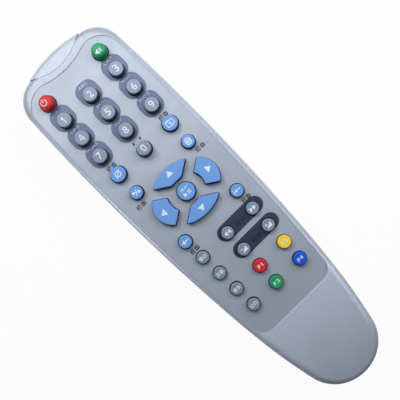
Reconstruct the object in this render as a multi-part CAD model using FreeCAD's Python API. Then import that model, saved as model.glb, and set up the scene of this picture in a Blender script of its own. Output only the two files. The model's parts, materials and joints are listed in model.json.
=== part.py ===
"""Handset for a set-top box: two shells, a nose window, 35 keys, board, cells and a sliding door.

X runs across the handset, Y from the tail (-) to the nose (+) and Z up out of the key side.
The origin lies on the surface the handset rests on, under the middle of its length and width.
"""

import FreeCAD, Part
import math
import os
from dataclasses import dataclass

V = FreeCAD.Vector

# Key rows along the length, each measured from the one before it, starting at the nose
NOSE_TO_POWER_ROW = 16.15
POWER_TO_NUMBER_ROW = 10.75
NUMBER_PITCH = 10.77
ZERO_TO_SWITCH_ROW = 11.04
SWITCH_ROW_TO_PAD = 14.5
PAD_TO_BACK_ROW = 15.0
BACK_TO_LOWER_ROW = 10.0
LOWER_PITCH = 9.83
LAST_ROW_TO_PANEL_END = 13.61
PALM_LENGTH = 42.65

# Outline from above
CASE_WIDTH = 55.0
NOSE_TO_WIDEST = 59.55
SIDE_RADIUS = 1008.0
FLANK_LENGTH = 57.15
FLANK_RADIUS = 317.0
NOSE_CORNER_RADIUS = 12.8
WINDOW_BULGE = 2.65

# Outline from the side
ARCH_RADIUS = 2500.0
NOSE_TO_ARCH_CREST = 85.75
BROW_LENGTH = 11.75
BROW_RADIUS = 48.0
DIP_LEAD = 8.8
DIP_RADIUS = 60.0
PALM_RADIUS = 107.0
TAIL_TO_PALM_CREST = 29.45
UNDERSIDE_RISE_LENGTH = 31.75
UNDERSIDE_RISE_RADIUS = 130.0
TOP_EDGE_RADIUS = 3.5
BOTTOM_EDGE_RADIUS = 5.5
PROFILE_MARGIN = 4.0

# Shells and the joint between them
WALL = 2.3
SPARE_HEIGHT = 20.0
CUT_START_Z = -1.0
EDGE_TOLERANCE = 0.01
LEVEL_EDGE_HEIGHT = 4.0
SHORT_EDGE_HEIGHT = 2.0
SMALLEST_ROUND = 0.6
PARTING_HEIGHT = 10.5
LIP_THICKNESS = 1.0
LIP_HEIGHT = 1.4
LIP_GAP = 0.1
PARTING_GROOVE_WIDTH = 0.35
PARTING_GROOVE_DEPTH = 0.3

# Sunk key panel
PANEL_DEPTH = 0.35
PANEL_INSET = 2.4
NOSE_TO_PANEL_EAR = 8.45
PANEL_EAR_RADIUS = 10.0
NOSE_TO_PANEL_MIDDLE = 10.85
PANEL_CORNER_RADIUS = 6.0
PANEL_LEDGE_WIDTH = 0.2
PANEL_LEDGE_DEPTH = 0.15

# Nose window
SEAM_RADIUS = 23.0
NOSE_TO_SEAM = 7.75
SEAM_GAP = 0.15
WINDOW_FRONT_RADIUS = 52.0
WINDOW_SILL_HEIGHT = 6.5
WINDOW_WALL = 1.8
WINDOW_FLOOR = 1.2
WINDOW_POCKET_WIDTH = 16.0
WINDOW_BOTTOM_ROUND = 1.5
TONGUE_WIDTH = 15.0
TONGUE_THICKNESS = 1.1
TONGUE_REACH = 3.6
TONGUE_GAP = 0.1
EAR_SPAN = 33.0
EAR_THICKNESS = 2.0
EAR_HEIGHT = 7.0
EAR_GAP = 0.2

# Cells, their bay and the spring contacts
CELL_DIAMETER = 10.5
CELL_LENGTH = 44.5
CELL_NUB_DIAMETER = 3.8
CELL_NUB_HEIGHT = 0.8
CELL_GAP = 0.2
CELL_SPACING = 11.4
TAIL_TO_BAY = 6.25
BAY_ROOF = 1.0
BAY_WALL = 2.4
PLATE_THICKNESS = 0.4
PLATE_WIDTH = 8.0
PLATE_HEIGHT = 8.4
SPRING_LENGTH = 3.9
SPRING_RADIUS = 2.4
SPRING_WIRE_RADIUS = 0.3
SPRING_TURNS = 3

# Sliding door
DOOR_THICKNESS = 1.8
DOOR_OVERHANG = 1.5
DOOR_FLANGE_WIDTH = 1.2
DOOR_FLANGE_THICKNESS = 0.8
DOOR_GAP = 0.15
DOOR_END_HEIGHT = 8.0
DOOR_WRAP_REACH = 6.0
GRIP_SETBACK = 17.2
GRIP_COUNT = 5
GRIP_PITCH = 2.6
GRIP_WIDTH = 1.0
GRIP_DEPTH = 0.5
GRIP_LENGTH = 15.0

# Board and rubber mat
BOARD_THICKNESS = 1.2
BOARD_GAP = 0.1
BOARD_MARGIN = 1.0
NOSE_TO_BOARD = 11.75
BOARD_TAIL_MARGIN = 5.5
MAT_THICKNESS = 0.8
MAT_MARGIN = 0.8
MAT_HOLE_GAP = 0.35
COLLAR_WALL = 0.7
COLLAR_GAP = 0.15
PAD_THICKNESS = 0.1
PAD_DIAMETER = 5.0
PAD_SPLIT = 0.4

# Screws and their bosses
SCREW_DIAMETER = 2.1
SCREW_LENGTH = 12.0
SCREW_HEAD_DIAMETER = 4.4
SCREW_HEAD_HEIGHT = 1.6
SCREW_CROSS_LENGTH = 2.6
SCREW_CROSS_WIDTH = 0.6
SCREW_CROSS_DEPTH = 0.8
SCREW_SEAT_HEIGHT = 5.5
SCREW_HOLE_GAP = 0.3
SCREW_PILOT_GAP = 0.03
LOWER_BOSS_DIAMETER = 7.0
UPPER_BOSS_DIAMETER = 5.0
UPPER_SCREWS_X = 7.75
LOWER_SCREWS_X = 7.1

# Keys: how they sit in the panel and how far they travel
KEY_TRAVEL = 1.0
STOP_GAP = 0.1
HOLE_GAP = 0.3
FLANGE_LIP = 0.35
FLANGE_THICKNESS = 0.8
FLANGE_GAP = 0.12
STEM_DIAMETER = 4.8
PILL_DIAMETER = 3.8
PILL_THICKNESS = 0.4

# Key columns
POWER_COLUMN_X = 15.75
COLUMN_X = 15.5
LOWER_COLUMN_X = 14.9
LEFT_COLUMN_TAPER = 0.45
RIGHT_COLUMN_TAPER = 0.22

# Key kinds: top diameter, height over the panel and rounding of the top edge
DRAFT_ANGLE = 4.0
NUMBER_DIAMETER = 6.3
NUMBER_HEIGHT = 3.6
NUMBER_ROUND = 0.4
POWER_DIAMETER = 6.4
POWER_HEIGHT = 4.3
POWER_ROUND = 1.7
LARGE_BLUE_DIAMETER = 6.9
SMALL_BLUE_DIAMETER = 5.7
BLUE_HEIGHT = 2.5
CENTRE_DIAMETER = 7.8
FUNCTION_DIAMETER = 5.7
FUNCTION_HEIGHT = 2.2
ROCKER_DIAMETER = 5.6
GREY_DIAMETER = 5.5
LOW_HEIGHT = 1.9
LOW_ROUND = 0.45

# Arrow keys, measured from the middle of the centre key
LONG_ARROW_TIP = 13.0
LONG_ARROW_CORNER_X = 9.75
LONG_ARROW_CORNER_Y = 10.2
LONG_ARROW_FOOT_X = 2.95
LONG_ARROW_FOOT_Y = 5.85
SIDE_ARROW_TIP = 16.9
SIDE_ARROW_CORNER_X = 13.3
SIDE_ARROW_CORNER_Y = 7.2
SIDE_ARROW_HEEL_X = 7.75
SIDE_ARROW_HEEL_Y = 3.5
SIDE_ARROW_HOLLOW_X = 8.8
ARROW_CORNER_ROUND = 0.55

# Parts on the underside of the board
LED_DIAMETER = 5.0
LED_FLANGE_DIAMETER = 5.7
LED_FLANGE_LENGTH = 1.0
LED_LENGTH = 8.4
LED_DROP = 3.5
NOSE_TO_LED = 13.55
LED_LEAD_WIDTH = 0.5
LED_LEAD_SPACING = 2.54
LED_LEAD_LENGTH = 2.6
CHIP_LENGTH = 12.8
CHIP_WIDTH = 7.5
CHIP_THICKNESS = 2.2
CHIP_LIFT = 0.2
CHIP_LEG_COUNT = 10
CHIP_LEG_PITCH = 1.27
CHIP_LEG_WIDTH = 0.4
CHIP_LEG_REACH = 1.3
CHIP_LEG_THICKNESS = 0.25
CHIP_LEAD = 4.0
RESONATOR_LENGTH = 7.0
RESONATOR_WIDTH = 3.0
RESONATOR_HEIGHT = 5.0
RESONATOR_X = 13.0
RESONATOR_LEAD = 4.0
CAPACITOR_DIAMETER = 5.0
CAPACITOR_LENGTH = 8.0
CAPACITOR_X = -14.0
CAPACITOR_LEAD = 6.0
TRANSISTOR_DIAMETER = 4.6
TRANSISTOR_HEIGHT = 4.6
TRANSISTOR_FLAT = 1.2
TRANSISTOR_X = 8.0
TRANSISTOR_SETBACK = 3.5
RESISTOR_DIAMETER = 1.8
RESISTOR_LENGTH = 4.2
RESISTOR_X = -12.0
RESISTOR_LEAD = 3.7
RESISTOR_COUNT = 3
RESISTOR_PITCH = 4.0

# Places along the length: the nose is at plus half the length and the tail at minus half
CASE_LENGTH = (NOSE_TO_POWER_ROW + POWER_TO_NUMBER_ROW + 3 * NUMBER_PITCH + ZERO_TO_SWITCH_ROW
               + SWITCH_ROW_TO_PAD + PAD_TO_BACK_ROW + BACK_TO_LOWER_ROW + 3 * LOWER_PITCH
               + LAST_ROW_TO_PANEL_END + PALM_LENGTH)
HALF_LENGTH = CASE_LENGTH / 2
POWER_ROW_Y = HALF_LENGTH - NOSE_TO_POWER_ROW
NUMBER_ROW_Y = POWER_ROW_Y - POWER_TO_NUMBER_ROW
ZERO_ROW_Y = NUMBER_ROW_Y - 3 * NUMBER_PITCH
SWITCH_ROW_Y = ZERO_ROW_Y - ZERO_TO_SWITCH_ROW
PAD_CENTRE_Y = SWITCH_ROW_Y - SWITCH_ROW_TO_PAD
BACK_ROW_Y = PAD_CENTRE_Y - PAD_TO_BACK_ROW
LOWER_ROW_Y = BACK_ROW_Y - BACK_TO_LOWER_ROW
LAST_ROW_Y = LOWER_ROW_Y - 3 * LOWER_PITCH
PANEL_BOTTOM_Y = LAST_ROW_Y - LAST_ROW_TO_PANEL_END
PANEL_EAR_TOP_Y = HALF_LENGTH - NOSE_TO_PANEL_EAR
PANEL_MIDDLE_Y = HALF_LENGTH - NOSE_TO_PANEL_MIDDLE
SEAM_MIDDLE_Y = HALF_LENGTH - NOSE_TO_SEAM
ARCH_CREST_Y = HALF_LENGTH - NOSE_TO_ARCH_CREST
BROW_START_Y = HALF_LENGTH - BROW_LENGTH
UNDERSIDE_RISE_Y = HALF_LENGTH - UNDERSIDE_RISE_LENGTH
DIP_START_Y = PANEL_BOTTOM_Y + DIP_LEAD
PALM_CREST_Y = TAIL_TO_PALM_CREST - HALF_LENGTH
BOARD_FRONT_Y = HALF_LENGTH - NOSE_TO_BOARD
BOARD_BACK_Y = LAST_ROW_Y - BOARD_TAIL_MARGIN
LED_BACK_Y = HALF_LENGTH - NOSE_TO_LED
CHIP_Y = LOWER_ROW_Y + CHIP_LEAD
RESONATOR_Y = LOWER_ROW_Y + RESONATOR_LEAD
CAPACITOR_Y = LOWER_ROW_Y + CAPACITOR_LEAD
TRANSISTOR_Y = POWER_ROW_Y - TRANSISTOR_SETBACK
RESISTOR_Y = NUMBER_ROW_Y + RESISTOR_LEAD

# Places that follow from the outline from above
FRONT_WALL_Y = HALF_LENGTH - WINDOW_BULGE
WIDEST_Y = HALF_LENGTH - NOSE_TO_WIDEST
FLANK_START_Y = FLANK_LENGTH - HALF_LENGTH
SIDE_CENTRE_X = CASE_WIDTH / 2 - SIDE_RADIUS
FLANK_SINE = (FLANK_START_Y - WIDEST_Y) / SIDE_RADIUS
FLANK_CENTRE_X = SIDE_CENTRE_X + (SIDE_RADIUS - FLANK_RADIUS) * math.sqrt(1 - FLANK_SINE ** 2)
FLANK_CENTRE_Y = WIDEST_Y + (SIDE_RADIUS - FLANK_RADIUS) * FLANK_SINE
TAIL_SPAN = FLANK_CENTRE_Y + HALF_LENGTH
TAIL_RADIUS = (FLANK_RADIUS ** 2 - FLANK_CENTRE_X ** 2 - TAIL_SPAN ** 2) / (2 * (FLANK_RADIUS - TAIL_SPAN))

# Heights that follow from the stack of cell, board, mat and keys
CELL_Z = DOOR_THICKNESS + CELL_GAP + CELL_DIAMETER / 2
BAY_ROOF_Z = CELL_Z + CELL_DIAMETER / 2 + CELL_GAP
BOARD_Z = BAY_ROOF_Z + BAY_ROOF + BOARD_GAP
BOARD_TOP_Z = BOARD_Z + BOARD_THICKNESS
MAT_TOP_Z = BOARD_TOP_Z + MAT_THICKNESS
PILL_Z = BOARD_TOP_Z + PAD_THICKNESS + KEY_TRAVEL + STOP_GAP
POWER_FLARE = POWER_HEIGHT * math.tan(math.radians(DRAFT_ANGLE))
HIGHEST_FLANGE_REACH = POWER_ROW_Y + POWER_DIAMETER / 2 + POWER_FLARE + HOLE_GAP + FLANGE_LIP
LOWEST_CEILING_Z = MAT_TOP_Z + KEY_TRAVEL + STOP_GAP + FLANGE_THICKNESS + FLANGE_GAP
ARCH_DROP = (HIGHEST_FLANGE_REACH - ARCH_CREST_Y) ** 2 / (2 * ARCH_RADIUS)
RIM_CREST_Z = LOWEST_CEILING_Z + WALL + ARCH_DROP
HEADROOM = RIM_CREST_Z + SPARE_HEIGHT

# Places that follow from the cells
BAY_LENGTH = CELL_LENGTH + SPRING_LENGTH + 2 * PLATE_THICKNESS
BAY_BACK_Y = TAIL_TO_BAY - HALF_LENGTH
BAY_FRONT_Y = BAY_BACK_Y + BAY_LENGTH
BAY_HALF_WIDTH = CELL_SPACING / 2 + CELL_DIAMETER / 2 + CELL_GAP
DOOR_FRONT_Y = BAY_FRONT_Y + DOOR_OVERHANG
DOOR_HALF_WIDTH = BAY_HALF_WIDTH + DOOR_OVERHANG
DOOR_SKIN_HALF_WIDTH = DOOR_HALF_WIDTH - DOOR_FLANGE_WIDTH
LEDGE_TOP_Z = DOOR_THICKNESS - DOOR_FLANGE_THICKNESS


@dataclass(frozen=True)
class Key:
    """One key: its name, where it stands, its size and the shape of its top."""

    name: str
    x: float
    y: float
    diameter: float
    height: float
    edge_round: float
    shape: str = "round"


def number_keys():
    """Keys 1 to 9 in three rows, and 0 under them."""
    keys = []
    for digit in range(1, 10):
        row, column = divmod(digit - 1, 3)
        keys.append(Key(f"key_{digit}", (column - 1) * COLUMN_X, NUMBER_ROW_Y - row * NUMBER_PITCH,
                        NUMBER_DIAMETER, NUMBER_HEIGHT, NUMBER_ROUND))
    keys.append(Key("key_0", 0.0, ZERO_ROW_Y, NUMBER_DIAMETER, NUMBER_HEIGHT, NUMBER_ROUND))
    return keys


def paired_keys(names, x, y, diameter, height, edge_round):
    """A left and a right key in one row."""
    return [Key(name, side * x, y, diameter, height, edge_round)
            for name, side in zip(names, (-1, 1))]


def centre_pad_keys():
    """The centre key and the four arrow keys round it."""
    keys = [Key("key_ok", 0.0, PAD_CENTRE_Y, CENTRE_DIAMETER, BLUE_HEIGHT, LOW_ROUND)]
    for shape in ("up", "down", "left", "right"):
        keys.append(Key(f"key_{shape}", 0.0, PAD_CENTRE_Y, 0.0, BLUE_HEIGHT, LOW_ROUND, shape))
    return keys


def lower_keys():
    """Four rows of a grey key on the left and two more keys, the outer columns closing in row by row."""
    rows = (
        ("key_guide", "key_rewind", "key_forward"),
        ("key_info", "key_volume_down", "key_volume_up"),
        ("key_list", "key_f1", "key_f2"),
        ("key_help", "key_f3", "key_f4"),
    )
    keys = []
    for row, names in enumerate(rows):
        is_rocker = row < 2
        diameter = ROCKER_DIAMETER if is_rocker else FUNCTION_DIAMETER
        height = LOW_HEIGHT if is_rocker else FUNCTION_HEIGHT
        y = LOWER_ROW_Y - row * LOWER_PITCH
        left_x = LEFT_COLUMN_TAPER * row - LOWER_COLUMN_X
        right_x = LOWER_COLUMN_X - RIGHT_COLUMN_TAPER * row
        keys.append(Key(names[0], left_x, y, GREY_DIAMETER, LOW_HEIGHT, LOW_ROUND))
        keys.append(Key(names[1], 0.0, y, diameter, height, LOW_ROUND))
        keys.append(Key(names[2], right_x, y, diameter, height, LOW_ROUND))
    return keys


def all_keys():
    """Every key, from the nose to the tail."""
    return (
        paired_keys(("key_power", "key_mute"), POWER_COLUMN_X, POWER_ROW_Y,
                    POWER_DIAMETER, POWER_HEIGHT, POWER_ROUND)
        + number_keys()
        + paired_keys(("key_audio", "key_favourite"), COLUMN_X, ZERO_ROW_Y,
                      LARGE_BLUE_DIAMETER, BLUE_HEIGHT, LOW_ROUND)
        + paired_keys(("key_switch", "key_menu"), COLUMN_X, SWITCH_ROW_Y,
                      SMALL_BLUE_DIAMETER, BLUE_HEIGHT, LOW_ROUND)
        + centre_pad_keys()
        + paired_keys(("key_back", "key_exit"), COLUMN_X, BACK_ROW_Y,
                      SMALL_BLUE_DIAMETER, BLUE_HEIGHT, LOW_ROUND)
        + lower_keys()
    )


def box(x0, x1, y0, y1, z0, z1):
    """A box between two corners."""
    return Part.makeBox(x1 - x0, y1 - y0, z1 - z0, V(x0, y0, z0))


def cylinder(radius, z0, z1, x=0.0, y=0.0):
    """An upright cylinder."""
    return Part.makeCylinder(radius, z1 - z0, V(x, y, z0))


def arc_between(centre, start, end):
    """The short arc round a centre from one point to another."""
    radius = (start - centre).Length
    middle = (start + end) / 2 - centre
    middle.normalize()
    return Part.Arc(start, centre + middle * radius, end).toShape()


def closed_face(edges):
    """A flat face from edges that close."""
    return Part.Face(Part.Wire(Part.__sortEdges__(edges)))


def corner_centre(y, radius, inset):
    """Centre of a corner of that radius, at that height y, that touches the right side curve."""
    reach = SIDE_RADIUS - inset - radius
    return V(SIDE_CENTRE_X + math.sqrt(reach ** 2 - (y - WIDEST_Y) ** 2), y, 0)


def side_point(centre, inset):
    """Where the right side curve, drawn in by inset, meets an arc with that centre."""
    side_centre = V(SIDE_CENTRE_X, WIDEST_Y, 0)
    direction = centre - side_centre
    direction.normalize()
    return side_centre + direction * (SIDE_RADIUS - inset)


def mirrored(edges):
    """Edges and their mirror images across the middle of the handset."""
    return edges + [edge.mirror(V(0, 0, 0), V(1, 0, 0)) for edge in edges]


def plan_face(inset):
    """The casing from above, drawn in by inset: long sides that close in to a round tail, square nose."""
    side_centre = V(SIDE_CENTRE_X, WIDEST_Y, 0)
    tail_centre = V(0, TAIL_RADIUS - HALF_LENGTH, 0)
    tail_tip = tail_centre - V(0, TAIL_RADIUS - inset, 0)
    flank_centre = V(FLANK_CENTRE_X, FLANK_CENTRE_Y, 0)
    to_tail = tail_centre - flank_centre
    to_tail.normalize()
    tail_join = flank_centre + to_tail * (FLANK_RADIUS - inset)
    flank_join = side_point(flank_centre, inset)
    nose_centre = corner_centre(FRONT_WALL_Y - NOSE_CORNER_RADIUS, NOSE_CORNER_RADIUS, 0.0)
    nose_top = nose_centre + V(0, NOSE_CORNER_RADIUS - inset, 0)
    nose_join = side_point(nose_centre, inset)
    edges = mirrored([
        arc_between(tail_centre, tail_tip, tail_join),
        arc_between(flank_centre, tail_join, flank_join),
        arc_between(side_centre, flank_join, nose_join),
        arc_between(nose_centre, nose_join, nose_top),
    ])
    front = Part.LineSegment(nose_top, V(-nose_top.x, nose_top.y, 0)).toShape()
    return closed_face(edges + [front])


def panel_face(growth):
    """The key panel from above, grown by a width: sides beside the casing's, two ears and a hollow between."""
    side_centre = V(SIDE_CENTRE_X, WIDEST_Y, 0)
    foot_centre = corner_centre(PANEL_BOTTOM_Y + PANEL_CORNER_RADIUS, PANEL_CORNER_RADIUS, PANEL_INSET)
    ear_centre = corner_centre(PANEL_EAR_TOP_Y - PANEL_EAR_RADIUS, PANEL_EAR_RADIUS, PANEL_INSET)
    rise = PANEL_MIDDLE_Y - ear_centre.y
    hollow_radius = (ear_centre.x ** 2 + rise ** 2 - PANEL_EAR_RADIUS ** 2) / (2 * (PANEL_EAR_RADIUS - rise))
    hollow_centre = V(0, PANEL_MIDDLE_Y + hollow_radius, 0)
    to_hollow = hollow_centre - ear_centre
    to_hollow.normalize()
    ear_join = ear_centre + to_hollow * (PANEL_EAR_RADIUS + growth)
    foot_bottom = foot_centre - V(0, PANEL_CORNER_RADIUS + growth, 0)
    foot_join = side_point(foot_centre, PANEL_INSET - growth)
    ear_side = side_point(ear_centre, PANEL_INSET - growth)
    middle = V(0, PANEL_MIDDLE_Y + growth, 0)
    edges = mirrored([
        arc_between(foot_centre, foot_bottom, foot_join),
        arc_between(side_centre, foot_join, ear_side),
        arc_between(ear_centre, ear_side, ear_join),
        arc_between(hollow_centre, ear_join, middle),
    ])
    bottom = Part.LineSegment(foot_bottom, V(-foot_bottom.x, foot_bottom.y, 0)).toShape()
    return closed_face(edges + [bottom])


def on_circle(centre, radius, y, above):
    """The point at y on a circle in the side view, above or below its centre."""
    rise = math.sqrt(radius ** 2 - (y - centre.y) ** 2)
    return V(0, y, centre.z + rise if above else centre.z - rise)


def profile_face(inset):
    """The casing from the side, drawn in by inset: long arch, brow, dip, palm and underside."""
    nose_y = HALF_LENGTH + PROFILE_MARGIN
    arch = V(0, ARCH_CREST_Y, RIM_CREST_Z - ARCH_RADIUS)
    brow_out = on_circle(arch, ARCH_RADIUS, BROW_START_Y, True) - arch
    brow_out.normalize()
    dip_out = on_circle(arch, ARCH_RADIUS, DIP_START_Y, True) - arch
    dip_out.normalize()
    brow = arch + brow_out * (ARCH_RADIUS - BROW_RADIUS)
    dip = arch + dip_out * (ARCH_RADIUS + DIP_RADIUS)
    palm_drop = math.sqrt((DIP_RADIUS + PALM_RADIUS) ** 2 - (dip.y - PALM_CREST_Y) ** 2)
    palm = V(0, PALM_CREST_Y, dip.z - palm_drop)
    palm_out = dip - palm
    palm_out.normalize()
    underside = V(0, UNDERSIDE_RISE_Y, UNDERSIDE_RISE_RADIUS)

    tail_bottom = V(0, -nose_y, inset)
    tail_top = on_circle(palm, PALM_RADIUS - inset, -nose_y, True)
    dip_end = palm + palm_out * (PALM_RADIUS - inset)
    dip_start = arch + dip_out * (ARCH_RADIUS - inset)
    brow_start = arch + brow_out * (ARCH_RADIUS - inset)
    nose_top = on_circle(brow, BROW_RADIUS - inset, nose_y, True)
    nose_bottom = on_circle(underside, UNDERSIDE_RISE_RADIUS - inset, nose_y, False)
    rise_start = V(0, UNDERSIDE_RISE_Y, inset)
    return closed_face([
        Part.LineSegment(tail_bottom, tail_top).toShape(),
        arc_between(palm, tail_top, dip_end),
        arc_between(dip, dip_end, dip_start),
        arc_between(arch, dip_start, brow_start),
        arc_between(brow, brow_start, nose_top),
        Part.LineSegment(nose_top, nose_bottom).toShape(),
        arc_between(underside, nose_bottom, rise_start),
        Part.LineSegment(rise_start, tail_bottom).toShape(),
    ])


def profile_solid(inset):
    """The side profile run across the full width."""
    face = profile_face(inset)
    face.translate(V(-CASE_WIDTH, 0, 0))
    return face.extrude(V(2 * CASE_WIDTH, 0, 0))


def prism(face, z0, z1):
    """A flat face in the base plane, raised between two heights."""
    raised = face.copy()
    raised.translate(V(0, 0, z0))
    return raised.extrude(V(0, 0, z1 - z0))


def rim_edges(solid, face, above):
    """Edges of a solid on the outline of a face, above or below the parting height."""
    outline = face.OuterWire
    found = []
    for edge in solid.Edges:
        middle = edge.valueAt((edge.FirstParameter + edge.LastParameter) / 2)
        if abs(edge.BoundBox.ZLength) > LEVEL_EDGE_HEIGHT or (middle.z > PARTING_HEIGHT) != above:
            continue
        if outline.distToShape(Part.Vertex(V(middle.x, middle.y, 0)))[0] < EDGE_TOLERANCE:
            found.append(edge)
    return found


def casing_form(inset):
    """The whole casing without its window, as one rounded solid drawn in by inset."""
    face = plan_face(inset)
    form = prism(face, 0.0, HEADROOM).common(profile_solid(inset))
    form = form.makeFillet(max(TOP_EDGE_RADIUS - inset, SMALLEST_ROUND), rim_edges(form, face, True))
    return form.makeFillet(BOTTOM_EDGE_RADIUS - inset, rim_edges(form, face, False))


def surface_height(y, inset):
    """Height of the long arch, drawn in by inset, at y."""
    reach = ARCH_RADIUS - inset
    return RIM_CREST_Z - ARCH_RADIUS + math.sqrt(reach ** 2 - (y - ARCH_CREST_Y) ** 2)


def panel_height(y):
    """Height of the sunk key panel at y."""
    return surface_height(y, PANEL_DEPTH)


def panel_floor():
    """Everything under the sunk key panel, which keeps to the long arch where the palm rises out of it."""
    start = V(-CASE_WIDTH, ARCH_CREST_Y, RIM_CREST_Z - ARCH_RADIUS)
    return Part.makeCylinder(ARCH_RADIUS - PANEL_DEPTH, 2 * CASE_WIDTH, start, V(1, 0, 0))


def seam_cylinder(gap, z0):
    """The round block that the nose window fills, grown by a gap."""
    return cylinder(SEAM_RADIUS + gap, z0, HEADROOM, 0.0, SEAM_MIDDLE_Y + SEAM_RADIUS)


def arrow_face(shape):
    """One arrow key from above, about the middle of the centre key."""
    if shape in ("up", "down"):
        left = V(-LONG_ARROW_CORNER_X, LONG_ARROW_CORNER_Y, 0)
        right = V(LONG_ARROW_CORNER_X, LONG_ARROW_CORNER_Y, 0)
        foot_right = V(LONG_ARROW_FOOT_X, LONG_ARROW_FOOT_Y, 0)
        foot_left = V(-LONG_ARROW_FOOT_X, LONG_ARROW_FOOT_Y, 0)
        edges = [
            Part.Arc(left, V(0, LONG_ARROW_TIP, 0), right).toShape(),
            Part.LineSegment(right, foot_right).toShape(),
            Part.LineSegment(foot_right, foot_left).toShape(),
            Part.LineSegment(foot_left, left).toShape(),
        ]
        turn = 0.0 if shape == "up" else 180.0
    else:
        outer_low = V(SIDE_ARROW_CORNER_X, -SIDE_ARROW_CORNER_Y, 0)
        outer_high = V(SIDE_ARROW_CORNER_X, SIDE_ARROW_CORNER_Y, 0)
        inner_high = V(SIDE_ARROW_HEEL_X, SIDE_ARROW_HEEL_Y, 0)
        inner_low = V(SIDE_ARROW_HEEL_X, -SIDE_ARROW_HEEL_Y, 0)
        edges = [
            Part.Arc(outer_low, V(SIDE_ARROW_TIP, 0, 0), outer_high).toShape(),
            Part.LineSegment(outer_high, inner_high).toShape(),
            Part.Arc(inner_high, V(SIDE_ARROW_HOLLOW_X, 0, 0), inner_low).toShape(),
            Part.LineSegment(inner_low, outer_low).toShape(),
        ]
        turn = 0.0 if shape == "right" else 180.0
    face = closed_face(edges)
    face.rotate(V(0, 0, 0), V(0, 0, 1), turn)
    return face


def key_spot(key):
    """The middle of a key's stem, which in an arrow key is the middle of the arrow."""
    long_middle = (LONG_ARROW_TIP + LONG_ARROW_FOOT_Y) / 2
    side_middle = (SIDE_ARROW_TIP + SIDE_ARROW_HOLLOW_X) / 2
    shift = {
        "round": V(0, 0, 0),
        "up": V(0, long_middle, 0),
        "down": V(0, -long_middle, 0),
        "left": V(-side_middle, 0, 0),
        "right": V(side_middle, 0, 0),
    }
    return V(key.x, key.y, 0) + shift[key.shape]


def key_block(key, grow, z0, z1, corner_round=ARROW_CORNER_ROUND):
    """A key's outline, grown all round and raised between two heights."""
    if key.shape == "round":
        base_radius = key.diameter / 2 + key.height * math.tan(math.radians(DRAFT_ANGLE))
        return cylinder(base_radius + grow, z0, z1, key.x, key.y)
    block = prism(arrow_face(key.shape), z0, z1)
    upright = [edge for edge in block.Edges if edge.BoundBox.ZLength > (z1 - z0) / 2]
    block = block.makeFillet(corner_round, upright)
    if grow > 0.0:
        foot = min(block.Faces, key=lambda face: face.CenterOfMass.z)
        block = prism(foot.makeOffset2D(grow), 0.0, z1 - z0)
        block.translate(V(0, 0, z0 - block.BoundBox.ZMin))
    block.translate(V(key.x, key.y, 0))
    return block


def flange_top(key):
    """Height of the top of a key's flange, just under the lowest part of the ceiling over it."""
    outline = key_block(key, HOLE_GAP + FLANGE_LIP, 0.0, 1.0).BoundBox
    far_y = max(outline.YMax, 2 * ARCH_CREST_Y - outline.YMin)
    return surface_height(far_y, WALL) - FLANGE_GAP


def key_cap(key):
    """The part of a key that shows: a drafted button or a straight arrow with a rounded top edge."""
    top_z = panel_height(key_spot(key).y) + key.height
    foot_z = flange_top(key) - FLANGE_THICKNESS / 2
    if key.shape == "round":
        shoulder_z = top_z - key.height
        base_radius = key.diameter / 2 + key.height * math.tan(math.radians(DRAFT_ANGLE))
        cone = Part.makeCone(base_radius, key.diameter / 2, key.height, V(key.x, key.y, shoulder_z))
        cap = cone.fuse(cylinder(base_radius, foot_z, shoulder_z, key.x, key.y)).removeSplitter()
    else:
        cap = key_block(key, 0.0, foot_z, top_z)
    rim = [edge for edge in cap.Edges if edge.BoundBox.ZMin > top_z - EDGE_TOLERANCE]
    return cap.makeFillet(key.edge_round, rim)


def build_key(key):
    """A key with its flange and stem, and the carbon pill under the stem as a second solid."""
    spot = key_spot(key)
    shelf_z = flange_top(key)
    flange = key_block(key, HOLE_GAP + FLANGE_LIP, shelf_z - FLANGE_THICKNESS, shelf_z)
    stem = cylinder(STEM_DIAMETER / 2, PILL_Z + PILL_THICKNESS, shelf_z - FLANGE_THICKNESS / 2,
                    spot.x, spot.y)
    body = key_cap(key).fuse([flange, stem]).removeSplitter()
    pill = cylinder(PILL_DIAMETER / 2, PILL_Z, PILL_Z + PILL_THICKNESS, spot.x, spot.y)
    return Part.Compound([body, pill])


def screw_spots():
    """The four case screws: two between the number keys and two between the lower keys."""
    upper_y = NUMBER_ROW_Y - NUMBER_PITCH / 2
    lower_y = LOWER_ROW_Y - 1.5 * LOWER_PITCH
    return [V(side * x, y, 0)
            for x, y in ((UPPER_SCREWS_X, upper_y), (LOWER_SCREWS_X, lower_y))
            for side in (-1, 1)]


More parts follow.
